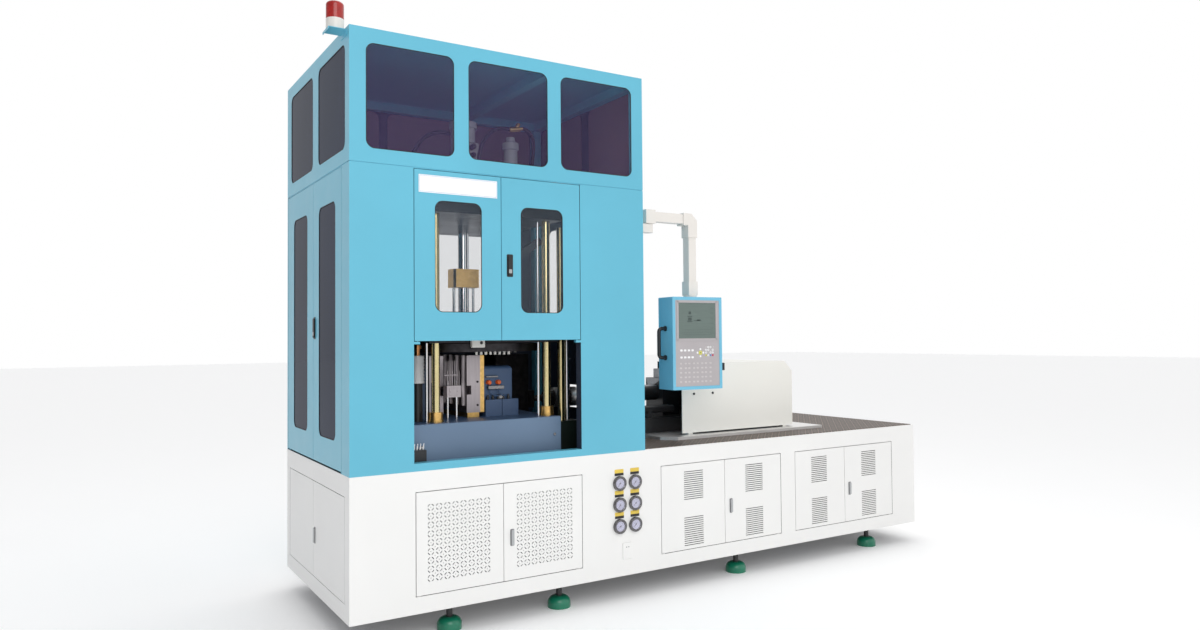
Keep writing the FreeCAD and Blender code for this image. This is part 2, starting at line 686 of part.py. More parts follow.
def column_frame():
    """Posts, beams and sill of the press column, with the pins its doors turn on."""
    left = (SKIN, SKIN + TUBE)
    right = (COLUMN_WIDTH - SKIN - TUBE, COLUMN_WIDTH - SKIN)
    front = (SKIN, SKIN + TUBE)
    back = (MACHINE_DEPTH - SKIN - TUBE, MACHINE_DEPTH - SKIN)
    low = (BASE_TOP, HOOD_SPLIT - SEAM)
    ring_z = (HOOD_SPLIT - SEAM, HOOD_SPLIT - SEAM + TUBE)
    top_z = (COLUMN_TOP - SKIN - TUBE, COLUMN_TOP - SKIN)
    pieces = []
    behind_door = (DOOR_SWEEP, DOOR_SWEEP + TUBE)
    for x in (left, right):
        for y in (front, back):
            foot_x = behind_door if x == left and y == back else x
            pieces.append(tube(foot_x, y, low, "z"))
            pieces.append(tube(x, y, (ring_z[1], top_z[0]), "z"))
        for z in (ring_z, top_z):
            pieces.append(tube(x, (front[1], back[0]), z, "y"))
    for z in (ring_z, top_z):
        for y in (front, back):
            pieces.append(tube((left[0], right[1]), y, z, "x"))
    back_windows = [(COLUMN_WIDTH - b, COLUMN_WIDTH - a) for a, b in reversed(HOOD_FRONT_WINDOWS)]
    mid_x = (back_windows[1][1] + PANE_LAP, back_windows[2][0] - PANE_LAP)
    pieces.append(tube(mid_x, (front[1], back[0]), top_z, "y"))
    pieces.append(tube(mid_x, back, (ring_z[1], top_z[0]), "z"))
    pieces.append(box((FRONT_LEFT, FRONT_RIGHT), (0, TUBE), (BASE_TOP, SILL_TOP)))
    door_z = (FRONT_DOOR_BOTTOM, HOOD_SPLIT - SEAM)
    for x in (FRONT_LEFT + SEAM + PIVOT_INSET, FRONT_RIGHT - SEAM - PIVOT_INSET):
        tip = door_z[1] - SEAM - PIN_BITE
        pieces.append(post((x, PIVOT_SETBACK), PIN_RADIUS, (tip, door_z[1])))
    half = LUG_SIZE / 2
    for x, wall_x in (
        (FRONT_LEFT + SEAM + PIVOT_INSET, FRONT_LEFT),
        (FRONT_RIGHT - SEAM - PIVOT_INSET, FRONT_RIGHT),
    ):
        reach = (min(wall_x, x - half), max(wall_x, x + half))
        lug = box(reach, (0, SKIN + LUG_SIZE), (door_z[0] - LUG_HEIGHT, door_z[0]))
        pin = post((x, PIVOT_SETBACK), PIN_RADIUS, (door_z[0], door_z[0] + SEAM + PIN_BITE))
        pieces.append(lug.fuse(pin).removeSplitter())
    width = SIDE_BACK - SIDE_FRONT
    for x in (SEAM + PIVOT_INSET, width - SEAM - PIVOT_INSET):
        disc = post((x, PIVOT_SETBACK), PIN_DISC_RADIUS, (BASE_TOP, SIDE_DOOR_BOTTOM))
        low_pin = post((x, PIVOT_SETBACK), PIN_RADIUS, (BASE_TOP, SIDE_DOOR_BOTTOM + SEAM + PIN_BITE))
        high_pin = post((x, PIVOT_SETBACK), PIN_RADIUS, (door_z[1] - SEAM - PIN_BITE, door_z[1]))
        pieces.append(to_left_wall(disc.fuse(low_pin).removeSplitter(), SIDE_BACK))
        pieces.append(to_left_wall(high_pin, SIDE_BACK))
    return pieces


def corner_panel():
    """The front left cladding, folded round the corner and back beside the front opening."""
    z = (BASE_TOP, HOOD_SPLIT - SEAM / 2)
    front = box((0, FRONT_LEFT), (0, SKIN), z)
    side = box((0, SKIN), (0, SIDE_FRONT), z)
    inner = box((FRONT_LEFT - SKIN, FRONT_LEFT), (0, CORNER_RETURN), (BASE_TOP, HOOD_SPLIT - SEAM))
    return [front.fuse([side, inner]).removeSplitter()]


def front_panel():
    """The front right cladding, with a return beside the front opening."""
    z = (BASE_TOP, HOOD_SPLIT - SEAM / 2)
    front = box((FRONT_RIGHT, COLUMN_WIDTH), (0, SKIN), z)
    inner = box((FRONT_RIGHT, FRONT_RIGHT + SKIN), (0, TUBE), (BASE_TOP, HOOD_SPLIT - SEAM))
    return [front.fuse(inner).removeSplitter()]


def windowed_wall(x, z, windows, window_z):
    """A wall sheet facing the front, with round-cornered windows, and the panes behind it."""
    holes = [rounded_wire(span, window_z, WINDOW_RADIUS) for span in windows]
    wall = pierced_sheet(x, z, holes)
    panes = []
    pane_z = (window_z[0] - PANE_LAP, window_z[1] + PANE_LAP)
    for span in windows:
        pane_x = (span[0] - PANE_LAP, span[1] + PANE_LAP)
        panes.append(rounded_plate(pane_x, pane_z, WINDOW_RADIUS, (SKIN, SKIN + PANE)))
    return wall, panes


def to_back_wall(shape, width):
    """Turns a piece built facing the front so that it faces the back."""
    turned = shape.copy()
    turned.rotate(V(0, 0, 0), V(0, 0, 1), 180)
    turned.translate(V(width, MACHINE_DEPTH, 0))
    return turned


def to_right_wall(shape, front):
    """Turns a piece built facing the front so that it faces right, its start at the depth given."""
    turned = shape.copy()
    turned.rotate(V(0, 0, 0), V(0, 0, 1), 90)
    turned.translate(V(COLUMN_WIDTH, front, 0))
    return turned


def column_walls():
    """Back and right-hand walls of the column: (wall pieces by name, panes)."""
    z = (BASE_TOP, HOOD_SPLIT - SEAM / 2)
    mirrored = [(COLUMN_WIDTH - b, COLUMN_WIDTH - a) for a, b in reversed(BACK_WINDOWS)]
    back, back_panes = windowed_wall((0, COLUMN_WIDTH), z, mirrored, BACK_WINDOW_Z)
    back = to_back_wall(back, COLUMN_WIDTH)
    left_strip = box((0, SKIN), (SIDE_BACK, MACHINE_DEPTH - SKIN), z)
    right, right_panes = windowed_wall(
        (SKIN, MACHINE_DEPTH - SKIN), z, SIDE_WINDOWS, SIDE_PANEL_WINDOW_Z
    )
    cutout = box(SIDE_CUTOUT_Y, (-1, SKIN + 1), (BASE_TOP - 1, SIDE_CUTOUT_TOP))
    right = to_right_wall(right.cut(cutout), 0)
    panes = [to_back_wall(p, COLUMN_WIDTH) for p in back_panes]
    panes += [to_right_wall(p, 0) for p in right_panes]
    return [back, left_strip], [right], panes


def hood_walls():
    """The upper cabinet and its panes."""
    z = (HOOD_SPLIT + SEAM / 2, COLUMN_TOP - SKIN)
    front, front_panes = windowed_wall((0, COLUMN_WIDTH), z, HOOD_FRONT_WINDOWS, HOOD_WINDOW_Z)
    side_x = (SKIN, MACHINE_DEPTH - SKIN)
    side, side_panes = windowed_wall(side_x, z, HOOD_SIDE_WINDOWS, HOOD_WINDOW_Z)
    roof = box((0, COLUMN_WIDTH), (0, MACHINE_DEPTH), (COLUMN_TOP - SKIN, COLUMN_TOP))
    mirrored = [(MACHINE_DEPTH - b, MACHINE_DEPTH - a) for a, b in reversed(HOOD_SIDE_WINDOWS)]
    left, left_panes = windowed_wall(side_x, z, mirrored, HOOD_WINDOW_Z)
    walls = [
        front,
        to_back_wall(front, COLUMN_WIDTH),
        to_left_wall(left, MACHINE_DEPTH),
        to_right_wall(side, 0),
        roof,
    ]
    panes = front_panes + [to_back_wall(p, COLUMN_WIDTH) for p in front_panes]
    panes += [to_left_wall(p, MACHINE_DEPTH) for p in left_panes]
    panes += [to_right_wall(p, 0) for p in side_panes]
    return walls, panes


def front_doors():
    """The two windowed doors over the front opening and their panes."""
    z = (FRONT_DOOR_BOTTOM, HOOD_SPLIT - SEAM)
    sets = [[rounded_wire(span, FRONT_WINDOW_Z, WINDOW_RADIUS)] for span in FRONT_WINDOWS]
    doors = door_pair(FRONT_LEFT, FRONT_SPLIT, FRONT_RIGHT, z, sets, LOCK_INSET, FRONT_LOCK_Z)
    panes = [door_pane(span, FRONT_WINDOW_Z) for span in FRONT_WINDOWS]
    return doors, panes


def door_pane(span, window_z):
    """A pane held behind a door's skin."""
    return rounded_plate(
        (span[0] - PANE_LAP, span[1] + PANE_LAP),
        (window_z[0] - PANE_LAP, window_z[1] + PANE_LAP),
        WINDOW_RADIUS,
        (SKIN, SKIN + PANE),
    )


def side_doors():
    """The two tall windowed doors of the left wall: back one, front one, and their panes."""
    z = (SIDE_DOOR_BOTTOM - SEAM, HOOD_SPLIT - SEAM)
    split = SIDE_BACK - SIDE_SPLIT
    spans = [(SIDE_BACK - b, SIDE_BACK - a) for a, b in reversed(SIDE_WINDOWS)]
    sets = [[rounded_wire(span, SIDE_WINDOW_Z, WINDOW_RADIUS)] for span in spans]
    doors = door_pair(0, split, SIDE_BACK - SIDE_FRONT, z, sets, SIDE_LOCK_INSET, SIDE_LOCK_Z)
    panes = [door_pane(span, SIDE_WINDOW_Z) for span in spans]
    turned = [to_left_wall(door, SIDE_BACK) for door in doors]
    return turned, [to_left_wall(pane, SIDE_BACK) for pane in panes]


def base_side_doors():
    split = BASE_SIDE_BACK - BASE_SIDE_SPLIT
    width = BASE_SIDE_BACK - BASE_SIDE_FRONT
    doors = door_pair(0, split, width, BASE_DOOR_Z, [[], []], SIDE_LOCK_INSET, BASE_LOCK_Z)
    return [to_left_wall(door, BASE_SIDE_BACK) for door in doors]


def vent_doors():
    """The perforated pair under the press."""
    left, split, right = VENT_PAIR
    middle = sum(BASE_DOOR_Z) / 2
    sets = [ring_pattern(split + side * VENT_CENTRE_OFFSET, middle) for side in (-1, 1)]
    return door_pair(left, split, right, BASE_DOOR_Z, sets, LOCK_INSET, BASE_LOCK_Z)


def louvre_doors():
    """The two louvred pairs, left to right."""
    doors = []
    for left, split, right in LOUVRE_PAIRS:
        sets = [louvre_pattern(split + side * LOUVRE_CENTRE_OFFSET) for side in (-1, 1)]
        doors += door_pair(left, split, right, BASE_DOOR_Z, sets, LOCK_INSET, BASE_LOCK_Z)
    return doors


def tie_bars():
    """Four tie bars with flanged nuts at the bed and round nuts at the top platen, and two thin rods."""
    pieces = []
    for x in TIE_X:
        for y in TIE_Y:
            pieces.append(post((x, y), TIE_RADIUS, (BED_TOP, TIE_TOP)))
            flange_top = BED_TOP + TIE_FLANGE_HEIGHT
            bore = TIE_RADIUS + PIN_FIT
            foot = ring((x, y), TIE_FLANGE_RADIUS, bore, (BED_TOP, flange_top))
            nut = ring((x, y), TIE_NUT_RADIUS, bore, (flange_top, flange_top + TIE_NUT_HEIGHT))
            pieces.append(foot.fuse(nut).removeSplitter())
            top = TOP_PLATEN_Z[1]
            pieces.append(ring((x, y), TIE_NUT_RADIUS, bore, (top, top + TIE_NUT_HEIGHT)))
    for centre in GUIDE_RODS:
        pieces.append(post(centre, GUIDE_ROD_RADIUS, (BED_TOP, TOP_PLATEN_Z[0])))
    return pieces


def platen(z, margin):
    """A platen bored for the four tie bars."""
    x = (TIE_X[0] - margin, TIE_X[1] + margin)
    y = (TIE_Y[0] - margin, TIE_Y[1] + margin)
    plate = box(x, y, z)
    for bar_x_centre in TIE_X:
        for bar_y in TIE_Y:
            bore = post((bar_x_centre, bar_y), TIE_RADIUS + SLIDE_FIT, (z[0] - 1, z[1] + 1))
            plate = plate.cut(bore)
    return plate


def top_platen():
    bore_z = (TOP_PLATEN_Z[0] - 1, TOP_PLATEN_Z[1] + 1)
    bore = post((PRESS_X, PRESS_Y), LIFT_ROD_RADIUS + SLIDE_FIT, bore_z)
    return [platen(TOP_PLATEN_Z, TOP_PLATEN_MARGIN).cut(bore)]


def moving_platen():
    """The platen that rises and falls, its lift rod, guide block and pull rods."""
    low, high = MOVING_PLATEN_Z
    plate = platen(MOVING_PLATEN_Z, PLATEN_MARGIN)
    plate = plate.cut(post((PRESS_X, PRESS_Y), TABLE_HUB_RADIUS + PIN_FIT, (low - 1, high + 1)))
    for centre in GUIDE_RODS:
        plate = plate.cut(post(centre, GUIDE_ROD_RADIUS + SLIDE_FIT, (low - 1, high + 1)))
    flange_top = high + ROD_FLANGE_HEIGHT
    flange = post((PRESS_X, PRESS_Y), ROD_FLANGE_RADIUS, (high, flange_top))
    rod = post((PRESS_X, PRESS_Y), LIFT_ROD_RADIUS, (high, high + LIFT_ROD_LENGTH))
    half = [size / 2 for size in GUIDE_BLOCK_SIZE]
    block_z = (high + GUIDE_BLOCK_RISE, high + GUIDE_BLOCK_RISE + GUIDE_BLOCK_SIZE[2])
    block = box((PRESS_X - half[0], PRESS_X + half[0]), (PRESS_Y - half[1], PRESS_Y + half[1]), block_z)
    pieces = [plate, flange.fuse(rod).removeSplitter()]
    block = block.cut(post((PRESS_X, PRESS_Y), LIFT_ROD_RADIUS, (block_z[0] - 1, block_z[1] + 1)))
    for side in (-1, 1):
        centre = (PRESS_X + side * PULL_ROD_OFFSET, PRESS_Y)
        pieces.append(post(centre, PULL_ROD_RADIUS, (flange_top, block_z[0])))
    uprights = [e for e in block.Edges if e.BoundBox.ZLength > GUIDE_BLOCK_SIZE[2] / 2]
    pieces.append(block.makeChamfer(GUIDE_BLOCK_CHAMFER, uprights))
    return pieces


def lift_cylinder():
    """The hydraulic cylinder on the top platen, bored for the lift rod, and its upper cap."""
    centre = (PRESS_X, PRESS_Y)
    base = TOP_PLATEN_Z[1]
    top = base + LIFT_BARREL_HEIGHT
    barrel = ring(centre, LIFT_BARREL_RADIUS, LIFT_ROD_RADIUS + SLIDE_FIT, (base, top))
    flange = ring(centre, LIFT_FLANGE_RADIUS, LIFT_BARREL_RADIUS, (base, base + LIFT_FLANGE_HEIGHT))
    cap = post(centre, LIFT_CAP_RADIUS, (top, top + LIFT_CAP_HEIGHT))
    return [barrel, flange, cap]


def rotary_table():
    """The indexing table with three rows of eight neck holders."""
    centre = (PRESS_X, PRESS_Y)
    disc = post(centre, TABLE_RADIUS, (TABLE_BOTTOM, TABLE_TOP))
    hub = post(centre, TABLE_HUB_RADIUS, (TABLE_TOP, TABLE_TOP + TABLE_HUB_HEIGHT))
    pieces = [disc.fuse(hub).removeSplitter()]
    for station in range(STATIONS):
        row = []
        for index in range(NECKS):
            x = PRESS_X + (index - (NECKS - 1) / 2) * NECK_PITCH
            y = PRESS_Y - ROW_DISTANCE
            row.append(ring((x, y), NECK_RADIUS, NECK_BORE, (TABLE_BOTTOM - NECK_LENGTH, TABLE_BOTTOM)))
        for piece in row:
            piece.rotate(V(PRESS_X, PRESS_Y, 0), V(0, 0, 1), 360 / STATIONS * station)
        pieces += row
    return pieces


def blow_mould(x, inner_side):
    """One mould half on its brass foot; inner_side is 1 where its cavities face right."""
    z = (BED_TOP + MOULD_FOOT, MOULD_TOP)
    block = box((x, x + MOULD_WIDTH), MOULD_Y, z)
    face_x = x + MOULD_WIDTH if inner_side > 0 else x
    notch_z = (z[0] + MOULD_NOTCH_RISE, z[0] + MOULD_NOTCH_RISE + MOULD_NOTCH[1])
    notch_end = face_x - inner_side * MOULD_NOTCH[0]
    notch_x = (min(face_x, notch_end), max(face_x, notch_end))
    block = block.cut(box(notch_x, (MOULD_Y[0] - 1, MOULD_Y[0] + MOULD_NOTCH[1]), notch_z))
    pitch = (MOULD_Y[1] - MOULD_Y[0]) / CAVITY_COUNT
    for index in range(CAVITY_COUNT):
        y = MOULD_Y[0] + pitch * (index + 0.5)
        block = block.cut(post((face_x, y), CAVITY_RADIUS, (z[0] + CAVITY_FLOOR, z[1] + 1)))
    foot_x = (x + MOULD_FOOT_INSET, x + MOULD_WIDTH - MOULD_FOOT_INSET)
    foot_y = (MOULD_Y[0] + MOULD_FOOT_SETBACK, MOULD_Y[1] - MOULD_FOOT_SETBACK)
    foot = box(foot_x, foot_y, (BED_TOP + RUNNING_GAP, z[0]))
    outer_x = x if inner_side > 0 else x + MOULD_WIDTH
    pieces = [block, foot]
    if inner_side > 0:
        ram_x = (outer_x - RAM_BITE, outer_x)
    else:
        strip = box((outer_x, outer_x + MOULD_STRIP), (MOULD_Y[0], MOULD_Y[1]), z)
        pieces.append(strip)
        ram_x = (outer_x + MOULD_STRIP, outer_x + MOULD_STRIP + RAM_BITE)
    middle = (sum(MOULD_Y) / 2, BED_TOP + RAM_RISE)
    pieces.append(bar_x(middle, RAM_RADIUS, ram_x))
    return pieces


def clamp_units():
    """Clamp housings at each side of the moulds, the valve blocks, the comb's posts, and small fittings."""
    pieces = []
    middle = (sum(MOULD_Y) / 2, BED_TOP + RAM_RISE)
    right_start = MOULD_RIGHT_X + MOULD_WIDTH + MOULD_STRIP + CLAMP_GAP
    left_end = MOULD_LEFT_X - CLAMP_GAP
    for x in ((right_start, right_start + CLAMP_LENGTH), (left_end - LEFT_CLAMP_LENGTH, left_end)):
        y = (MOULD_Y[0] + CLAMP_MARGIN, MOULD_Y[1] - CLAMP_MARGIN)
        body = box(x, y, (BED_TOP, CLAMP_TOP))
        body = body.makeFillet(CLAMP_EDGE, [e for e in body.Edges if e.BoundBox.ZMin > CLAMP_TOP - 1])
        pieces.append(body.cut(bar_x(middle, RAM_RADIUS + SLIDE_FIT, (x[0] - 1, x[1] + 1))))
    width, depth, height = FRONT_BLOCK
    for index in range(2):
        x = right_start + index * (width + FRONT_BLOCK_GAP)
        y = MOULD_Y[0] + CLAMP_MARGIN
        pieces.append(box((x, x + width), (y - depth, y), (BED_TOP, BED_TOP + height)))
    for x in comb_posts():
        pieces.append(post((x, sum(COMB_Y) / 2), COMB_POST_RADIUS, (BED_TOP, COMB_POST_TOP)))
    x0, x1, y0, y1, height = TERMINAL_BLOCK
    pieces.append(box((x0, x1), (y0, y1), (BASE_TOP, SILL_TOP + height)))
    pieces.append(post(FILTER_CENTRE, FILTER_POST_RADIUS, (BED_TOP, FILTER_Z[0])))
    pieces += filter_bowl()
    return pieces


def comb_posts():
    return (COMB_BLOCK_X[0] + COMB_POSTS_INSET, COMB_BLOCK_X[1] - COMB_POSTS_INSET)


def filter_bowl():
    """A ribbed bowl with a stepped neck."""
    low, high = FILTER_Z
    pitch = (high - low) / FILTER_RIBS
    bowl = post(FILTER_CENTRE, FILTER_VALLEY, (low, high))
    for index in range(FILTER_RIBS):
        z = low + index * pitch
        bowl = bowl.fuse(post(FILTER_CENTRE, FILTER_RADIUS, (z, z + pitch * FILTER_RIB_SHARE)))
    neck_top = high + FILTER_NECK[1]
    neck = post(FILTER_CENTRE, FILTER_NECK[0], (high, neck_top))
    collar = post(FILTER_CENTRE, FILTER_COLLAR[0], (neck_top, neck_top + FILTER_COLLAR[1]))
    return [bowl.removeSplitter(), neck.fuse(collar).removeSplitter()]


def guide_columns():
    """A pair of upright columns on a block, right of the bed."""
    x0, x1, y0, y1, top = COLUMN_BLOCK
    pieces = [box((x0, x1), (y0, y1), (BASE_TOP, top))]
    for x, y, radius in COLUMN_PAIR:
        pieces.append(post((x, y), radius, (top, COLUMN_PAIR_TOP)))
    return pieces


def take_out_comb():
    """A block with upright pins that slides on two posts."""
    y = sum(COMB_Y) / 2
    block = box(COMB_BLOCK_X, COMB_Y, COMB_BLOCK_Z)
    for x in comb_posts():
        bore = post((x, y), COMB_POST_RADIUS + PIN_FIT, (COMB_BLOCK_Z[0] - 1, COMB_BLOCK_Z[1] + 1))
        block = block.cut(bore)
    pieces = [block]
    pitch = (COMB_BLOCK_X[1] - COMB_BLOCK_X[0]) / COMB_PINS
    top = COMB_BLOCK_Z[1]
    for index in range(COMB_PINS):
        x = COMB_BLOCK_X[0] + pitch * (index + 0.5)
        pieces.append(post((x, COMB_Y[0] + COMB_PIN_SETBACK), COMB_PIN_RADIUS, (top, top + COMB_PIN_HEIGHT)))
    return pieces


def injection_mould():
    x0, x1, y0, y1, top = INJECTION_MOULD
    block = box((x0, x1), (y0, y1), (BED_TOP, top))
    half = SPRUE_SEAT_HALF
    seat_x = (x1, x1 + SPRUE_SEAT_LENGTH)
    seat = box(seat_x, (BARREL_Y - half, BARREL_Y + half), (BARREL_Z - half, BARREL_Z + half))
    carrier = box((x0, x1), (y0, y1), (BASE_TOP, BED_TOP))
    over_bed = box((x0 - 1, BED_X[1]), (y0 - 1, y1 + 1), (BASE_TOP - 1, BED_TOP + 1))
    return [block, seat, carrier.cut(over_bed)]


def injection_bed():
    """The tray on the deck, with an angled front left corner, and the two rails."""
    z = (BASE_TOP + SKIN + DECK_SHEET, BASE_TOP + SKIN + DECK_SHEET + TRAY_THICKNESS)
    x0, x1 = TRAY_X
    y0, y1 = TRAY_Y
    outline = [V(x0, y0 + TRAY_CORNER, z[0]), V(x0 + TRAY_CORNER, y0, z[0]), V(x1, y0, z[0])]
    outline += [V(x1, y1, z[0]), V(x0, y1, z[0])]
    tray = Part.Face(Part.makePolygon(outline + outline[:1])).extrude(V(0, 0, TRAY_THICKNESS))
    rail_x = (CARRIAGE_X[0] - RAIL_LEAD, COVER_X[1] - RAIL_SETBACK)
    rail_z = (z[1], z[1] + RAIL_HEIGHT)
    rails = [box(rail_x, (y - RAIL_WIDTH / 2, y + RAIL_WIDTH / 2), rail_z) for y in RAIL_Y]
    return [tray] + rails


def injection_unit():
    """The carriage with its barrel, nozzle, motor and feed throat."""
    rail_top = BASE_TOP + SKIN + DECK_SHEET + TRAY_THICKNESS + RAIL_HEIGHT
    y = (RAIL_Y[0] - CARRIAGE_OVERHANG, RAIL_Y[1] + CARRIAGE_OVERHANG)
    carriage = box(CARRIAGE_X, y, (rail_top + RUNNING_GAP, CARRIAGE_TOP))
    axis = (BARREL_Y, BARREL_Z)
    pieces = [carriage]
    front_stand = (CARRIAGE_X[0] + STAND_INSET, CARRIAGE_X[0] + STAND_INSET + FRONT_STAND_LENGTH)
    rear_stand = (BARREL_X[1] - REAR_STAND_LENGTH, BARREL_X[1])
    stand_y = (BARREL_Y - STAND_HALF, BARREL_Y + STAND_HALF)
    stand_top = BARREL_Z + STAND_HALF
    for x in (front_stand, rear_stand):
        stand = box(x, stand_y, (CARRIAGE_TOP, stand_top))
        pieces.append(stand.cut(bar_x(axis, BARREL_RADIUS, (x[0] - 1, x[1] + 1))))
    pieces.append(bar_x(axis, BARREL_RADIUS, BARREL_X))
    tip = INJECTION_MOULD[1] + SPRUE_SEAT_LENGTH + NOZZLE_GAP
    cone = Part.makeCone(NOZZLE_TIP_RADIUS, NOZZLE_RADIUS, NOZZLE_CONE, V(tip, *axis), V(1, 0, 0))
    nozzle = bar_x(axis, NOZZLE_RADIUS, (tip + NOZZLE_CONE, BARREL_X[0]))
    pieces.append(cone.fuse(nozzle).removeSplitter())
    pieces.append(bar_x(axis, DRIVE_RADIUS, (BARREL_X[1], CARRIAGE_X[1] - DRIVE_SETBACK)))
    throat_x = (BARREL_X[1] - THROAT_SETBACK - THROAT_WIDTH, BARREL_X[1] - THROAT_SETBACK)
    throat_y = (BARREL_Y - THROAT_WIDTH / 2, BARREL_Y + THROAT_WIDTH / 2)
    pieces.append(box(throat_x, throat_y, (stand_top, stand_top + THROAT_HEIGHT)))
    for offset in SHIFT_CYLINDER_OFFSETS:
        centre = (BARREL_Y + offset, CARRIAGE_TOP + SHIFT_CYLINDER_RISE)
        radius = SHIFT_CYLINDER_RADIUS
        cylinder_x = (COLUMN_WIDTH + SHIFT_CYLINDER_START, CARRIAGE_X[0] + SHIFT_CYLINDER_REACH)
        pieces.append(bar_x(centre, radius, cylinder_x))
        foot_x = (CARRIAGE_X[0] + SHIFT_FOOT[0], CARRIAGE_X[0] + SHIFT_FOOT[1])
        foot = box(foot_x, (centre[0] - radius, centre[0] + radius), (CARRIAGE_TOP, centre[1]))
        pieces.append(foot.cut(bar_x(centre, radius, (foot_x[0] - 1, foot_x[1] + 1))))
    return pieces


def injection_cover():
    """The folded cover on four feet; its open left end is cut back at a slant towards the rear."""
    x0, x1 = COVER_X
    low, high = COVER_Z
    t = COVER_SHEET
    depth = COVER_Y[1] - COVER_Y[0]

    def profile(trim, start):
        return [
            V(start, 0, low), V(start, 0, high - trim), V(x1 - COVER_CORNER, 0, high - trim),
            V(x1 - trim, 0, high - COVER_CORNER), V(x1 - trim, 0, low),
        ]

    outer_points = profile(0, x0)
    outer = Part.Face(Part.makePolygon(outer_points + outer_points[:1])).extrude(V(0, depth, 0))
    inner_points = profile(t, x0 - 1)
    inner_points = [V(p.x, p.y, low - 1) if p.z == low else p for p in inner_points]
    hollow = Part.Face(Part.makePolygon(inner_points + inner_points[:1]))
    hollow = hollow.extrude(V(0, depth - 2 * t, 0))
    hollow.translate(V(0, t, 0))
    cover = outer.cut(hollow)
    cover.translate(V(0, COVER_Y[0], 0))
    for dx, dz in COVER_HOLES:
        start = V(x0 + dx, COVER_Y[0] - 1, low + dz)
        hole = Part.makeCylinder(COVER_HOLE_RADIUS, t + 2, start, V(0, 1, 0))
        cover = cover.cut(hole)
    y0, y1 = COVER_Y
    slant = [V(x0 - 1, y0 + t, low - 1), V(x0, y0 + t, low - 1)]
    slant += [V(x0 + COVER_SLANT, y1 + 1, low - 1), V(x0 - 1, y1 + 1, low - 1)]
    cover = cover.cut(Part.Face(Part.makePolygon(slant + slant[:1])).extrude(V(0, 0, high - low + 2)))
    pieces = [cover]
    floor = BASE_TOP + SKIN + DECK_SHEET + TRAY_THICKNESS
    for y, setback in ((y0 + t, 0.0), (y1 - t - COVER_FOOT, COVER_SLANT)):
        for x in (x0 + setback + COVER_FOOT_INSET, x1 - COVER_FOOT_INSET - COVER_FOOT):
            pieces.append(box((x, x + COVER_FOOT), (y, y + COVER_FOOT), (floor, low + COVER_FOOT)))
    return pieces


def oil_tank():
    """The welded oil tank with a cleaning cover on its front."""
    tank = box(TANK_X, TANK_Y, TANK_Z)
    rails = (SKIN + TUBE, MACHINE_DEPTH - SKIN - TUBE)
    skids_x = (TANK_X[0] + SKID_INSET, TANK_X[1] - SKID_INSET - TUBE)
    skids = [box((x, x + TUBE), rails, (BASE_BOTTOM, TANK_Z[0])) for x in skids_x]
    centre = V(sum(TANK_X) / 2, TANK_Y[0] - HATCH_THICKNESS, sum(TANK_Z) / 2)
    cover = Part.makeCylinder(HATCH_RADIUS, HATCH_THICKNESS, centre, V(0, 1, 0))
    return [tank, cover] + skids


def pump_unit():
    """The pump motor on its foot, with the pump at its left end."""
    y, z = MOTOR_AXIS
    motor = bar_x((y, z), MOTOR_RADIUS, MOTOR_X)
    foot_x = (MOTOR_X[0] + MOTOR_FOOT_INSET, MOTOR_X[1] - MOTOR_FOOT_INSET)
    foot_y = (y - MOTOR_FOOT_HALF, y + MOTOR_FOOT_HALF)
    foot = box(foot_x, foot_y, (BASE_BOTTOM, z - MOTOR_RADIUS + MOTOR_FOOT_LAP))
    foot = foot.cut(motor)
    rails = (SKIN + TUBE, MACHINE_DEPTH - SKIN - TUBE)
    cross = box(foot_x, rails, (BASE_BOTTOM, BASE_BOTTOM + CROSS_PLATE))
    bell = bar_x((y, z), BELL_RADIUS, (MOTOR_X[0] - BELL_LENGTH, MOTOR_X[0]))
    pump = bar_x((y, z), PUMP_RADIUS, (TANK_X[1], MOTOR_X[0] - BELL_LENGTH))
    return [motor, foot.cut(cross), cross, bell.fuse(pump).removeSplitter()]


def gauges():
    """Six pressure gauges: a bezel, a sunk dial and a body through the panel."""
    pieces = []
    for x in GAUGE_X:
        for z in GAUGE_Z:
            outer = Part.makeCylinder(GAUGE_RADIUS, GAUGE_PROUD, V(x, -GAUGE_PROUD, z), V(0, 1, 0))
            rim = [e for e in outer.Edges if e.BoundBox.YMax < -GAUGE_PROUD + 0.1]
            outer = outer.makeChamfer(GAUGE_CHAMFER, rim)
            sink = Part.makeCylinder(
                GAUGE_RADIUS - GAUGE_BEZEL, GAUGE_DIAL_DEPTH, V(x, -GAUGE_PROUD, z), V(0, 1, 0)
            )
            body = Part.makeCylinder(GAUGE_BODY_RADIUS, GAUGE_BACK, V(x, 0, z), V(0, 1, 0))
            pieces.append(outer.cut(sink).fuse(body).removeSplitter())
    return pieces


def arm_bracket():
    """The bracket on the column's right side that the arm's pivot pin stands in."""
    x, y = ARM_PIVOT
    top = arm_bracket_top()
    z = (top - BRACKET_HEIGHT, top)
    half = ARM_TUBE / 2
    block = box((COLUMN_WIDTH, x + half), (y - half, y + half), z)
    edges = [e for e in block.Edges if e.BoundBox.ZLength > 1 and e.BoundBox.XMin > x]
    block = block.makeFillet(BRACKET_NOSE, edges)
    return [block.cut(post((x, y), PIVOT_PIN_RADIUS + PIVOT_FIT, (z[0] + BRACKET_FLOOR, z[1] + 1)))]


def arm_bracket_top():
    return ARM_Z[0] - PIVOT_PIN_LENGTH + BRACKET_LAP


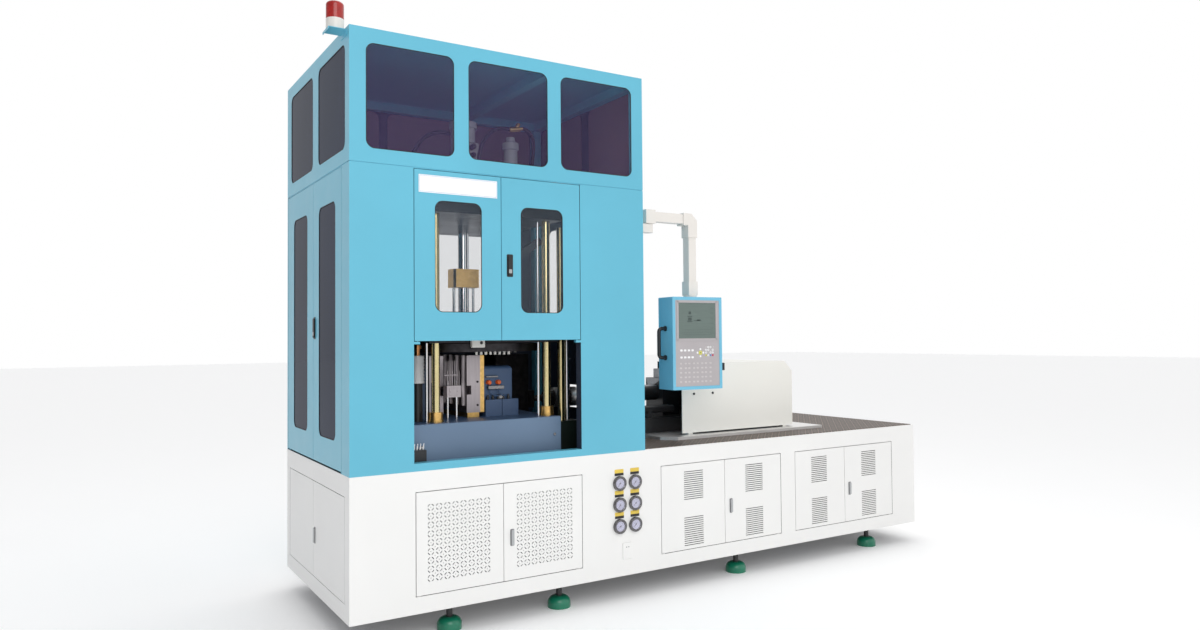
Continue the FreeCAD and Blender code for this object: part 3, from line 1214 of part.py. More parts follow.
def control_arm():
    """The bent pipe: pivot pin, swivel stub, level run, elbow and drop."""
    x, y = ARM_PIVOT
    low, high = ARM_Z
    half = ARM_TUBE / 2
    bracket_top = arm_bracket_top()
    pin = post((x, y), PIVOT_PIN_RADIUS, (bracket_top - PIVOT_PIN_DEPTH, low))
    collar = post((x, y), STUB_RADIUS, (bracket_top + RUNNING_GAP, low))
    sleeve = ARM_SLEEVE / 2
    sleeve_y = (y - sleeve, y + sleeve)
    end = PANEL_AXIS_X
    pieces = [box((x - sleeve, x + sleeve), sleeve_y, (low - TEE_LIP[0], high + TEE_LIP[1]))]
    pieces.append(box((x, end), (y - half, y + half), (low, high)))
    elbow_x = (end - ELBOW, end + ELBOW_NOSE)
    elbow = box(elbow_x, sleeve_y, (low - ELBOW_DROP, high + ELBOW_LIP))
    cut_z = (low - ELBOW_DROP - 1, low - ELBOW_THROAT)
    elbow = elbow.cut(box((elbow_x[0] - 1, end - sleeve), (y - ARM_SLEEVE, y + ARM_SLEEVE), cut_z))
    corner = [e for e in elbow.Edges if e.BoundBox.ZMin > high and e.BoundBox.XMin > end]
    corner = [e for e in corner if e.BoundBox.YLength > ARM_TUBE - 1]
    pieces.append(elbow.makeChamfer(ELBOW_CHAMFER, corner))
    sleeve_low = PANEL_TOP + COLLAR_HEIGHT + RUNNING_GAP
    sleeve_z = (sleeve_low, PANEL_TOP + COLLAR_HEIGHT + SLEEVE_HEIGHT)
    pieces.append(box((end - half, end + half), (y - half, y + half), (sleeve_low, low)))
    pieces.append(box((end - sleeve, end + sleeve), sleeve_y, sleeve_z))
    solid = pin.fuse([collar] + pieces).removeSplitter()
    bore_z = (sleeve_low - 1, sleeve_low + SPIGOT_LENGTH + SPIGOT_END_GAP)
    bore = post((end, y), SPIGOT_RADIUS + PIVOT_FIT, bore_z)
    return [solid.cut(bore)]


def panel_place(shape):
    """Turns a piece of the panel about the drop pipe to its rest angle."""
    turned = shape.copy()
    turned.rotate(V(PANEL_AXIS_X, ARM_PIVOT[1], 0), V(0, 0, 1), PANEL_YAW)
    return turned


def panel_box():
    """Ends of the panel case in X, Y and Z before it is turned."""
    y0 = ARM_PIVOT[1] - PANEL_DEPTH / 2
    x0 = PANEL_AXIS_X - PANEL_WIDTH / 2
    return (x0, x0 + PANEL_WIDTH), (y0, y0 + PANEL_DEPTH), (PANEL_TOP - PANEL_HEIGHT, PANEL_TOP)


def panel_case():
    """The folded case with its face recess, and the turned collar that hangs it from the arm."""
    x, y, z = panel_box()
    wall = PANEL_WALL
    case = box(x, y, z)
    case = case.makeFillet(CASE_EDGE, [e for e in case.Edges if e.BoundBox.YLength > 10])
    inner_y = (y[0] + FACE_RIM, y[1] - wall)
    inner = box((x[0] + wall, x[1] - wall), inner_y, (z[0] + wall, z[1] - wall))
    mouth_x = (x[0] + FACE_MARGIN, x[1] - FACE_MARGIN)
    mouth_z = (z[0] + FACE_MARGIN, z[1] - FACE_MARGIN)
    mouth = box(mouth_x, (y[0] - 1, inner_y[0] + 1), mouth_z)
    case = case.cut(inner).cut(mouth)
    centre = (PANEL_AXIS_X, ARM_PIVOT[1])
    collar_top = z[1] + COLLAR_HEIGHT
    collar = post(centre, COLLAR_RADIUS, (z[1], collar_top))
    spigot = post(centre, SPIGOT_RADIUS, (z[1], collar_top + SPIGOT_LENGTH))
    case = case.fuse([collar, spigot]).removeSplitter()
    hole = Part.makeCylinder(
        KNOB_SHAFT + PIN_FIT, wall * 4, V(x[1] - wall * 2, y[0] + KNOB_SETBACK, z[1] - KNOB_DROP), V(1, 0, 0)
    )
    return [panel_place(case.cut(hole))]


def panel_face():
    """The face plate set into the case."""
    x, y, z = panel_box()
    plate = rounded_plate(
        (x[0] + FACE_MARGIN, x[1] - FACE_MARGIN),
        (z[0] + FACE_MARGIN, z[1] - FACE_MARGIN),
        FACE_CORNER,
        (y[0] + FACE_RECESS, y[0] + FACE_RECESS + FACE_THICKNESS),
    )
    return [panel_place(plate)]


def panel_handle():
    """The bow handle on the panel's left side."""
    x, y, z = panel_box()
    mid_y = sum(y) / 2
    top = z[1] - HANDLE_DROP[0]
    low = z[1] - HANDLE_DROP[1]
    reach = x[0] - HANDLE_PROUD + HANDLE_ROD
    bend = HANDLE_BEND
    mid = bend * (1 - math.sqrt(0.5))
    upper_bend = (V(reach + bend, mid_y, top), V(reach + mid, mid_y, top - mid), V(reach, mid_y, top - bend))
    lower_bend = (V(reach, mid_y, low + bend), V(reach + mid, mid_y, low + mid), V(reach + bend, mid_y, low))
    edges = [
        Part.makeLine(V(x[0], mid_y, top), upper_bend[0]),
        Part.Arc(*upper_bend).toShape(),
        Part.makeLine(upper_bend[2], lower_bend[0]),
        Part.Arc(*lower_bend).toShape(),
        Part.makeLine(lower_bend[2], V(x[0], mid_y, low)),
    ]
    path = Part.Wire(edges)
    section = Part.Wire([Part.makeCircle(HANDLE_ROD, V(x[0], mid_y, top), V(1, 0, 0))])
    bow = path.makePipeShell([section], True, True)
    feet = [
        Part.makeCylinder(HANDLE_FOOT[0], HANDLE_FOOT[1], V(x[0] - HANDLE_FOOT[1], mid_y, height), V(1, 0, 0))
        for height in (top, low)
    ]
    return [panel_place(bow.fuse(feet).removeSplitter())]


def selector_knob():
    """The small knob on the panel's right side, with a bar grip."""
    x, y, z = panel_box()
    centre = V(x[1] + RUNNING_GAP, y[0] + KNOB_SETBACK, z[1] - KNOB_DROP)
    skirt = Part.makeCylinder(KNOB_RADIUS, KNOB_SKIRT, centre, V(1, 0, 0))
    grip_x = (centre.x + KNOB_SKIRT - 1, centre.x + KNOB_PROUD)
    grip_y = (centre.y - KNOB_GRIP_HALF, centre.y + KNOB_GRIP_HALF)
    grip = box(grip_x, grip_y, (centre.z - KNOB_RADIUS, centre.z + KNOB_RADIUS))
    grip = grip.makeFillet(KNOB_GRIP_EDGE, [e for e in grip.Edges if e.BoundBox.XLength > 1])
    shaft_start = centre - V(PANEL_WALL + KNOB_SHAFT_END, 0, 0)
    shaft = Part.makeCylinder(KNOB_SHAFT, PANEL_WALL + KNOB_SHAFT_END + 1, shaft_start, V(1, 0, 0))
    return [panel_place(skirt.fuse([grip, shaft]).removeSplitter())]


def beacon_shelf():
    """A folded shelf on the left wall near the top."""
    top = box((SHELF_X, 0), SHELF_Y, (SHELF_TOP - SKIN, SHELF_TOP))
    lip = box((-SKIN, 0), SHELF_Y, (SHELF_TOP - SHELF_LIP, SHELF_TOP))
    edge = box((SHELF_X, SHELF_X + SKIN), SHELF_Y, (SHELF_TOP - SHELF_EDGE, SHELF_TOP))
    return [top.fuse([lip, edge]).removeSplitter()]


def beacon_base():
    base = post(BEACON_CENTRE, BEACON_RADIUS, (SHELF_TOP, SHELF_TOP + BEACON_BASE))
    rim = [e for e in base.Edges if e.Closed and e.BoundBox.ZMin < SHELF_TOP + 1]
    return [base.makeChamfer(BEACON_CHAMFER, rim)]


def beacon_lens():
    low = SHELF_TOP + BEACON_BASE
    lens = post(BEACON_CENTRE, BEACON_RADIUS, (low, low + BEACON_LENS))
    lens = lens.makeFillet(BEACON_DOME, [e for e in lens.Edges if e.Closed and e.BoundBox.ZMin > low + 1])
    lens_top = low + BEACON_LENS
    boss = post(BEACON_CENTRE, BEACON_BOSS, (lens_top - 1, lens_top + BEACON_BOSS_HEIGHT))
    return [lens.fuse(boss).removeSplitter()]


def save(name, pieces):
    """Shifts a node's pieces to the model's origin and writes them."""
    shape = pieces[0] if len(pieces) == 1 else Part.makeCompound(pieces)
    shape = shape.copy()
    shape.translate(V(-ORIGIN_X, -(MACHINE_DEPTH - FRONT_REACH) / 2, 0))
    shape.exportStep("parts/" + name + ".step")


def lock_levers():
    """Every lock lever by name."""
    levers = {"front_lock": lock_lever(FRONT_SPLIT + LOCK_INSET, FRONT_LOCK_Z, FRONT_LEVER)}
    side_x = SIDE_BACK - SIDE_SPLIT + SIDE_LOCK_INSET
    levers["side_lock"] = to_left_wall(lock_lever(side_x, SIDE_LOCK_Z, FRONT_LEVER), SIDE_BACK)
    base_x = BASE_SIDE_BACK - BASE_SIDE_SPLIT + SIDE_LOCK_INSET
    base_lever = lock_lever(base_x, BASE_LOCK_Z, BASE_LEVER)
    levers["base_side_lock"] = to_left_wall(base_lever, BASE_SIDE_BACK)
    levers["vent_lock"] = lock_lever(VENT_PAIR[1] + LOCK_INSET, BASE_LOCK_Z, BASE_LEVER)
    for index, pair in enumerate(LOUVRE_PAIRS):
        name = "louvre_lock_" + str(index + 1)
        levers[name] = lock_lever(pair[1] + LOCK_INSET, BASE_LOCK_Z, BASE_LEVER)
    return levers


def main():
    os.makedirs("parts", exist_ok=True)
    back, right, wall_panes = column_walls()
    hood, hood_panes = hood_walls()
    save("back_panel", back)
    save("side_panel", right)
    save("upper_cabinet", hood)
    save("fixed_windows", hood_panes + wall_panes)

    doors, panes = front_doors()
    for side, door, pane in zip(("left", "right"), doors, panes):
        save("front_door_" + side, [door])
        save("front_pane_" + side, [pane])
    doors, panes = side_doors()
    for side, door, pane in zip(("back", "front"), doors, panes):
        save("side_door_" + side, [door])
        save("side_pane_" + side, [pane])
    for side, door in zip(("back", "front"), base_side_doors()):
        save("base_side_door_" + side, [door])
    for side, door in zip(("left", "right"), vent_doors()):
        save("vent_door_" + side, [door])
    for index, door in enumerate(louvre_doors()):
        save("louvre_door_" + str(index + 1), [door])
    for name, lever in lock_levers().items():
        save(name, [lever])

    builders = (
        base_frame, base_cabinet, deck_plates, levelling_feet, press_bed, column_frame, corner_panel,
        front_panel, tie_bars, top_platen, moving_platen, lift_cylinder, rotary_table, clamp_units,
        guide_columns, take_out_comb, injection_mould, injection_bed, injection_unit, injection_cover,
        oil_tank, pump_unit, gauges, arm_bracket, control_arm, panel_case, panel_face, panel_handle,
        selector_knob, beacon_shelf, beacon_base, beacon_lens,
    )
    for builder in builders:
        save(builder.__name__, builder())
    save("blow_mould_left", blow_mould(MOULD_LEFT_X, 1))
    save("blow_mould_right", blow_mould(MOULD_RIGHT_X, -1))


if __name__ == "__main__":
    main()
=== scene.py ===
import math

import bmesh
import bpy
from mathutils import Matrix, Vector


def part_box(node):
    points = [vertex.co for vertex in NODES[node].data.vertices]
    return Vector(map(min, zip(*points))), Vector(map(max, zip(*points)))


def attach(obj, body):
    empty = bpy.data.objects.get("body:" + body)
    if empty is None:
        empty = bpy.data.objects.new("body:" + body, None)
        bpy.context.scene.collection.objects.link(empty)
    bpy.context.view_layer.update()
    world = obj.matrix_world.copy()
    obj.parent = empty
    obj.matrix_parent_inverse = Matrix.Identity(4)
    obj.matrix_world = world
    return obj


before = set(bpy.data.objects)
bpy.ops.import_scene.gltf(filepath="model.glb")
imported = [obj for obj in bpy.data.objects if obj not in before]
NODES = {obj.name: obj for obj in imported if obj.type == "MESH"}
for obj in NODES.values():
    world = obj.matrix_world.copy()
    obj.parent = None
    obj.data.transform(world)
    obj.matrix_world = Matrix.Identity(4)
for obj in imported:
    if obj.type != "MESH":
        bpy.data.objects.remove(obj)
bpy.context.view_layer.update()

# ---- sizes of the CAD parts, in metres
BAR_RADIUS = 0.025
NUT_RADIUS = 0.046
BAR_INSET = 0.08
ROD_RADIUS = 0.035
PLATEN_THICKNESS = 0.09
GUIDE_BLOCK_RISE = 0.27
GUIDE_BLOCK_HEIGHT = 0.12
COLUMN_BLOCK_HEIGHT = 0.19
THIN_COLUMN_REACH = 0.082
NECK_LENGTH = 0.0188
MOULD_WIDTH = 0.09
MOULD_STRIP = 0.027
MOULD_FOOT_HEIGHT = 0.0297
BOWL_OFFSET = (0.143, 0.28)
BOWL_RADIUS = 0.042
BOWL_RISE = 0.2265
BOWL_TOP = 0.3905
FOOT_DOME = 0.070
DIAL_DEPTH = 0.008
FACE_MARGIN = 0.022
BARREL_SETBACK = 0.195
BARREL_HEIGHT = 1.230
WINDOW_RADIUS = 0.048
PANE_LAP = 0.014

# ---- camera, in metres, degrees and millimetres
CAMERA_AT = Vector((-3.538, -5.274, 1.656))
CAMERA_YAW = 32.247
CAMERA_PITCH = 1.4955
CAMERA_ROLL = -0.4712
CAMERA_LENS = 25.745
SENSOR_WIDTH = 36.0
VIEW_DISTANCE = 200.0

# ---- directions and tolerances
FRONT = (0, -1, 0)
LEFT = (-1, 0, 0)
RIGHT = (1, 0, 0)
UP = (0, 0, 1)
HAIR = 0.0002
NEAR = 0.001
FACING = 0.9
LEANING = 0.5


BOXES = {name: [Vector(corner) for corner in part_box(name)] for name in NODES}


def lo(name):
    return BOXES[name][0].copy()


def hi(name):
    return BOXES[name][1].copy()


def middle(name):
    return (BOXES[name][0] + BOXES[name][1]) / 2


# ---- materials
def shader(name):
    """A new material: (material, its node tree, its Principled shader)."""
    material = bpy.data.materials.new(name)
    material.use_nodes = True
    tree = material.node_tree
    return material, tree, tree.nodes["Principled BSDF"]


def sum_of(tree, operation, first, second=None, third=None):
    """A Math node over sockets or numbers."""
    made = tree.nodes.new("ShaderNodeMath")
    made.operation = operation
    for index, value in enumerate((first, second, third)):
        if value is None:
            continue
        if hasattr(value, "is_output"):
            tree.links.new(value, made.inputs[index])
        else:
            made.inputs[index].default_value = value
    return made.outputs[0]


def noise(tree, scale, detail=3.0, stretch=(1, 1, 1)):
    """Noise over the object's own coordinates."""
    coordinates = tree.nodes.new("ShaderNodeTexCoord")
    mapping = tree.nodes.new("ShaderNodeMapping")
    mapping.inputs["Scale"].default_value = stretch
    tree.links.new(coordinates.outputs["Object"], mapping.inputs["Vector"])
    made = tree.nodes.new("ShaderNodeTexNoise")
    made.inputs["Scale"].default_value = scale
    made.inputs["Detail"].default_value = detail
    tree.links.new(mapping.outputs["Vector"], made.inputs["Vector"])
    return made.outputs["Fac"]


def ramp(tree, factor, stops):
    """A colour ramp over a factor, from a list of (position, colour)."""
    made = tree.nodes.new("ShaderNodeValToRGB")
    elements = made.color_ramp.elements
    while len(elements) < len(stops):
        elements.new(0.5)
    for element, (position, colour) in zip(elements, stops):
        element.position = position
        element.color = (*colour, 1)
    tree.links.new(factor, made.inputs["Fac"])
    return made.outputs["Color"]


def shade(colour, amount):
    """A lighter or darker colour."""
    return tuple(min(1.0, channel * amount) for channel in colour)


def bump(tree, surface, height, distance):
    """Raises the surface by a height socket."""
    made = tree.nodes.new("ShaderNodeBump")
    made.inputs["Strength"].default_value = 1.0
    made.inputs["Distance"].default_value = distance
    tree.links.new(height, made.inputs["Height"])
    tree.links.new(made.outputs["Normal"], surface.inputs["Normal"])


def vary_roughness(tree, surface, low, high, scale):
    """Uneven gloss between two roughness values."""
    spread = tree.nodes.new("ShaderNodeMapRange")
    spread.inputs["To Min"].default_value = low
    spread.inputs["To Max"].default_value = high
    tree.links.new(noise(tree, scale, 4.0), spread.inputs["Value"])
    tree.links.new(spread.outputs["Result"], surface.inputs["Roughness"])


def paint(name, colour, roughness=0.38, mottling=0.05, peel=0.00005, coat=0.0):
    """Sprayed or powder-coated paint: faint cloudiness, orange peel and uneven gloss."""
    material, tree, surface = shader(name)
    colours = [(0.3, shade(colour, 1 - mottling)), (0.7, shade(colour, 1 + mottling))]
    tree.links.new(ramp(tree, noise(tree, 1.7, 5.0), colours), surface.inputs["Base Color"])
    vary_roughness(tree, surface, roughness - 0.05, roughness + 0.07, 6.0)
    surface.inputs["Coat Weight"].default_value = coat
    surface.inputs["Coat Roughness"].default_value = 0.12
    bump(tree, surface, noise(tree, 420.0, 2.0), peel)
    return material


def metal(name, colour, roughness=0.3, stretch=(1, 1, 1), scale=60.0, depth=0.00004, mottling=0.12):
    """Bare or plated metal with fine lines along one direction."""
    material, tree, surface = shader(name)
    surface.inputs["Metallic"].default_value = 1.0
    lines = noise(tree, scale, 6.0, stretch)
    colours = [(0.3, shade(colour, 1 - mottling)), (0.7, shade(colour, 1 + mottling))]
    tree.links.new(ramp(tree, lines, colours), surface.inputs["Base Color"])
    vary_roughness(tree, surface, roughness * 0.75, roughness * 1.3, 9.0)
    bump(tree, surface, lines, depth)
    return material


def plastic(name, colour, roughness=0.45, grain=0.00004, grain_scale=900.0, mottling=0.06):
    """Moulded plastic or rubber with a fine grain."""
    material, tree, surface = shader(name)
    colours = [(0.3, shade(colour, 1 - mottling)), (0.7, shade(colour, 1 + mottling))]
    tree.links.new(ramp(tree, noise(tree, 14.0), colours), surface.inputs["Base Color"])
    vary_roughness(tree, surface, roughness - 0.05, roughness + 0.05, 30.0)
    bump(tree, surface, noise(tree, grain_scale, 2.0), grain)
    return material


def pane(name, colour, alpha, roughness=0.06, specular=0.25):
    """Tinted acrylic: the surface shows by its tint and its gloss, and the rest is seen through it."""
    material, tree, surface = shader(name)
    colours = [(0.3, shade(colour, 0.8)), (0.7, shade(colour, 1.2))]
    tree.links.new(ramp(tree, noise(tree, 0.9, 2.0), colours), surface.inputs["Base Color"])
    vary_roughness(tree, surface, roughness * 0.6, roughness * 1.6, 3.0)
    surface.inputs["Alpha"].default_value = alpha
    surface.inputs["Specular IOR Level"].default_value = specular
    bump(tree, surface, noise(tree, 1.4, 1.0), 0.0015)
    return material


def tread_plate(name, colour, pitch=0.034):
    """Rolled tread plate: raised lozenges that alternate in direction, with worn tops."""
    material, tree, surface = shader(name)
    coordinates = tree.nodes.new("ShaderNodeTexCoord")
    split = tree.nodes.new("ShaderNodeSeparateXYZ")
    tree.links.new(coordinates.outputs["Object"], split.inputs[0])
    x = sum_of(tree, "DIVIDE", split.outputs["X"], pitch)
    y = sum_of(tree, "DIVIDE", split.outputs["Y"], pitch)
    cells = sum_of(tree, "ADD", sum_of(tree, "FLOOR", x), sum_of(tree, "FLOOR", y))
    odd = sum_of(tree, "PINGPONG", cells, 1.0)
    across = sum_of(tree, "SUBTRACT", sum_of(tree, "FRACT", x), 0.5)
    along = sum_of(tree, "SUBTRACT", sum_of(tree, "FRACT", y), 0.5)
    rising = sum_of(tree, "ADD", across, along)
    falling = sum_of(tree, "SUBTRACT", across, along)
    swing = sum_of(tree, "SUBTRACT", falling, rising)
    length = sum_of(tree, "MULTIPLY_ADD", swing, odd, rising)
    width = sum_of(tree, "SUBTRACT", sum_of(tree, "ADD", rising, falling), length)
    far = sum_of(tree, "POWER", sum_of(tree, "ABSOLUTE", sum_of(tree, "DIVIDE", length, 0.62)), 2.0)
    near = sum_of(tree, "POWER", sum_of(tree, "ABSOLUTE", sum_of(tree, "DIVIDE", width, 0.2)), 2.0)
    height = sum_of(tree, "SUBTRACT", 1.0, sum_of(tree, "ADD", far, near))
    raised = tree.nodes.new("ShaderNodeMapRange")
    raised.inputs["From Max"].default_value = 0.5
    tree.links.new(height, raised.inputs["Value"])
    colours = [(0.0, shade(colour, 0.7)), (1.0, shade(colour, 3.2))]
    tree.links.new(ramp(tree, raised.outputs["Result"], colours), surface.inputs["Base Color"])
    surface.inputs["Metallic"].default_value = 0.35
    surface.inputs["Roughness"].default_value = 0.5
    bump(tree, surface, raised.outputs["Result"], 0.0015)
    return material


def glow_screen(name, colour):
    """A grey-green display with faint scan lines and a soft glow."""
    material, tree, surface = shader(name)
    lines = noise(tree, 40.0, 2.0, (0.2, 1, 12))
    colours = [(0.2, shade(colour, 0.9)), (0.8, shade(colour, 1.1))]
    tree.links.new(ramp(tree, lines, colours), surface.inputs["Base Color"])
    surface.inputs["Roughness"].default_value = 0.25
    surface.inputs["Coat Weight"].default_value = 0.4
    surface.inputs["Emission Color"].default_value = (*colour, 1)
    surface.inputs["Emission Strength"].default_value = 0.12
    return material


def lens_plastic(name, colour):
    """Coloured lens plastic that lets a little light into itself."""
    material, tree, surface = shader(name)
    colours = [(0.3, shade(colour, 0.85)), (0.7, shade(colour, 1.15))]
    tree.links.new(ramp(tree, noise(tree, 30.0), colours), surface.inputs["Base Color"])
    surface.inputs["Roughness"].default_value = 0.18
    surface.inputs["Coat Weight"].default_value = 0.25
    surface.inputs["Subsurface Weight"].default_value = 0.15
    surface.inputs["Subsurface Radius"].default_value = (0.02, 0.004, 0.002)
    surface.inputs["Emission Color"].default_value = (*colour, 1)
    surface.inputs["Emission Strength"].default_value = 0.02
    bump(tree, surface, noise(tree, 200.0), 0.0001)
    return material


BLUE = paint("blue_powder_coat", (0.115, 0.465, 0.62), roughness=0.34, mottling=0.035, coat=0.15)
# the panel case's own blue, lightened past the machine's blue to lift its shaded side: partly painted light
BLUE_CASE_PAINTED_LIGHT = paint("blue_case_painted_light", (0.16, 0.50, 0.69), roughness=0.33, mottling=0.04, coat=0.2)
WHITE = paint("white_powder_coat", (0.855, 0.85, 0.835), roughness=0.4, mottling=0.015)
COVER_WHITE = paint("cover_off_white", (0.87, 0.855, 0.80), roughness=0.42, mottling=0.02)
FRAME_DARK = paint("frame_dark_paint", (0.05, 0.06, 0.075), roughness=0.5, mottling=0.15)
# a lighter copy of the machine's blue for the frame inside the hood: painted light in place of light inside
# the hood
FRAME_BLUE_PAINTED_LIGHT = paint("frame_blue_painted_light", (0.13, 0.58, 0.76), roughness=0.4, mottling=0.08)
GREEN = paint("mount_green_enamel", (0.006, 0.19, 0.105), roughness=0.3, mottling=0.1, coat=0.3)
BED_BLUE = paint("bed_slate_blue", (0.135, 0.21, 0.32), roughness=0.4, mottling=0.07)
CLAMP_BLUE = paint("clamp_blue", (0.05, 0.095, 0.19), roughness=0.4, mottling=0.1)
BLOCK_GREEN = paint("block_dark_green", (0.012, 0.022, 0.018), roughness=0.45, mottling=0.2)
PIPE_GREY = paint("pipe_warm_grey", (0.78, 0.745, 0.70), roughness=0.4, mottling=0.04)
TREAD = tread_plate("tread_plate", (0.105, 0.078, 0.062))
SMOKED = pane("smoked_pane", (0.014, 0.022, 0.048), 0.985, specular=0.02)
HOOD_PANE = pane("hood_front_pane", (0.085, 0.062, 0.155), 0.20)
# pale, nearly opaque tint for the inner faces of the far hood panes: painted light in place of daylight
# through them
REAR_PANE_PAINTED_LIGHT = pane("rear_pane_painted_light", (0.36, 0.22, 0.24), 0.88)
CLEAR = pane("clear_pane", (0.20, 0.24, 0.30), 0.10, 0.03)
UPRIGHT_STEEL = metal("ground_steel_upright", (0.72, 0.62, 0.33), 0.16, (1, 1, 0.05), 300.0)
CHROME = metal("hard_chrome", (0.82, 0.83, 0.86), 0.1, (1, 1, 0.1), 120.0, 0.00001, 0.04)
DARK_STEEL = metal("blackened_steel", (0.045, 0.042, 0.045), 0.42, (1, 1, 1), 30.0, 0.0001, 0.3)
TOOL_STEEL = metal("ground_tool_steel", (0.40, 0.365, 0.38), 0.40, (1, 1, 0.06), 160.0, 0.00004, 0.07)
LIGHT_STEEL = metal("tray_steel", (0.78, 0.77, 0.76), 0.38, (0.08, 1, 1), 90.0, 0.00005, 0.1)
MACHINE_BLACK = paint("machine_black", (0.022, 0.021, 0.022), roughness=0.36, mottling=0.3, peel=0.0001)
# dark grey on the inward faces of the base, its doors, the injection cover and the drip tray: painted shade
INNER_PAINTED_SHADE = paint("inner_painted_shade", (0.055, 0.055, 0.06), roughness=0.6, mottling=0.1)
# near-black blue for the inner faces of the column walls and the sheets in the cut-out: painted shade
WALL_PAINTED_SHADE = paint("wall_inside_painted_shade", (0.024, 0.034, 0.062), roughness=0.6, mottling=0.15)
BRASS = metal("cast_brass", (0.72, 0.46, 0.16), 0.3, (1, 1, 1), 50.0, 0.00006, 0.15)
COPPER = metal("copper_fitting", (0.7, 0.33, 0.14), 0.3, (1, 1, 1), 40.0, 0.00003, 0.15)
ZINC = metal("zinc_plate", (0.30, 0.30, 0.31), 0.4, (1, 1, 1), 80.0, 0.00004, 0.15)
BEZEL = metal("gauge_bezel", (0.16, 0.155, 0.16), 0.14, (1, 1, 1), 100.0, 0.00001, 0.1)
LEVER = metal("lever_satin", (0.45, 0.46, 0.47), 0.3, (1, 1, 0.1), 200.0, 0.00002, 0.08)
BLACK = plastic("black_moulding", (0.014, 0.014, 0.016), 0.4)
RUBBER = plastic("black_seal_rubber", (0.02, 0.02, 0.021), 0.65, 0.00008, 500.0)
HOSE = plastic("black_hose_cover", (0.016, 0.016, 0.018), 0.5, 0.0001, 300.0)
GREY_CASTING = paint("cylinder_grey", (0.55, 0.57, 0.60), roughness=0.45, mottling=0.1)
RIBBED_WHITE = plastic("ribbed_bowl", (0.76, 0.76, 0.77), 0.3, 0.00002, 200.0)
OFF_WHITE = plastic("off_white_moulding", (0.72, 0.70, 0.66), 0.35)
FACE_GREY = plastic("membrane_grey", (0.44, 0.41, 0.42), 0.35, 0.00002, 1500.0, 0.02)
KEY_PALE = plastic("pale_key", (0.56, 0.53, 0.53), 0.35)
KEY_WHITE = plastic("white_key", (0.86, 0.86, 0.86), 0.3)
KEY_YELLOW = plastic("yellow_key", (0.62, 0.60, 0.12), 0.35)
KEY_BLUE = plastic("blue_key", (0.13, 0.27, 0.55), 0.35)
KEY_RED = plastic("red_key", (0.62, 0.03, 0.10), 0.35)
KEY_DARK = plastic("dark_print", (0.09, 0.08, 0.09), 0.4)
TAG_YELLOW = plastic("tag_yellow", (0.78, 0.56, 0.08), 0.35)
DIAL = plastic("dial_white", (0.62, 0.61, 0.76), 0.3)
RED = lens_plastic("beacon_red", (0.34, 0.010, 0.007))
SCREEN = glow_screen("display_green_grey", (0.105, 0.145, 0.130))
ORANGE = plastic("orange_fitting", (0.80, 0.13, 0.02), 0.35)
PLATE_WHITE = plastic("nameplate_white", (0.90, 0.90, 0.91), 0.25, mottling=0.01)


def dress(material, *names):
    """Gives whole CAD nodes one material."""
    for name in names:
        mesh = NODES[name].data
        mesh.materials.clear()
        mesh.materials.append(material)
        for face in mesh.polygons:
            face.material_index = 0


def repaint(name, material, test):
    """Gives the faces of a CAD node whose centre and normal pass the test another material."""
    mesh = NODES[name].data
    mesh.materials.append(material)
    index = len(mesh.materials) - 1
    for face in mesh.polygons:
        if test(face.center, face.normal):
            face.material_index = index


LOUVRE_DOORS = ("louvre_door_1", "louvre_door_2", "louvre_door_3", "louvre_door_4")
VENT_DOORS = ("vent_door_left", "vent_door_right")
BASE_SIDE_DOORS = ("base_side_door_back", "base_side_door_front")
COLUMN_WALLS = ("corner_panel", "front_panel", "back_panel", "side_panel", "upper_cabinet")


def dress_frame():
    """The main material of every CAD node."""
    dress(BLUE, *COLUMN_WALLS, "front_door_left", "front_door_right", "side_door_back", "side_door_front",
          "column_frame", "beacon_shelf")
    # the panel case takes the lightened blue: partly painted light on its shaded side
    dress(BLUE_CASE_PAINTED_LIGHT, "panel_case")
    dress(WHITE, "base_cabinet", *BASE_SIDE_DOORS, *VENT_DOORS, *LOUVRE_DOORS)
    dress(COVER_WHITE, "injection_cover")
    dress(HOOD_PANE, "fixed_windows")
    dress(SMOKED, "side_pane_back", "side_pane_front")
    dress(CLEAR, "front_pane_left", "front_pane_right")
    dress(FRAME_DARK, "base_frame", "oil_tank", "pump_unit")
    dress(TREAD, "deck_plates")
    dress(GREEN, "levelling_feet")
    dress(BED_BLUE, "press_bed")
    dress(CLAMP_BLUE, "clamp_units")
    dress(UPRIGHT_STEEL, "tie_bars", "guide_columns")
    dress(DARK_STEEL, "top_platen", "moving_platen", "rotary_table", "injection_mould")
    dress(MACHINE_BLACK, "injection_unit")
    dress(GREY_CASTING, "lift_cylinder")
    dress(TOOL_STEEL, "blow_mould_left", "blow_mould_right", "take_out_comb")
    dress(LIGHT_STEEL, "injection_bed")
    dress(BEZEL, "gauges")
    dress(BLACK, "front_lock", "side_lock")
    dress(LEVER, "base_side_lock", "vent_lock", "louvre_lock_1", "louvre_lock_2")
    dress(PIPE_GREY, "control_arm", "arm_bracket")
    dress(FACE_GREY, "panel_face")
    dress(BLACK, "panel_handle", "selector_knob")
    dress(OFF_WHITE, "beacon_base")
    dress(RED, "beacon_lens")


def near_point(point, x, y, radius):
    return math.hypot(point.x - x, point.y - y) < radius


def near_any(point, centres, radius):
    return any(near_point(point, x, y, radius) for x, y in centres)


def inward(name):
    """A test for the faces of a shell that look towards its own middle."""
    centre = middle(name)

    def test(point, normal):
        return normal.dot(point - centre) < 0 and abs(normal.z) < FACING
    return test


def faces_column_middle():
    """A test for the upright faces of a wall's skin that look into the press column."""
    column = middle("press_bed")

    def test(point, normal):
        if abs(normal.z) > LEANING:
            return False
        axis = 0 if abs(normal.x) > abs(normal.y) else 1
        return normal[axis] * (column[axis] - point[axis]) > 0
    return test


def dress_details():
    """Second materials inside nodes that hold more than one kind of part."""
    dress_press()
    dress_clamps()
    dress_injection()
    dress_walls()


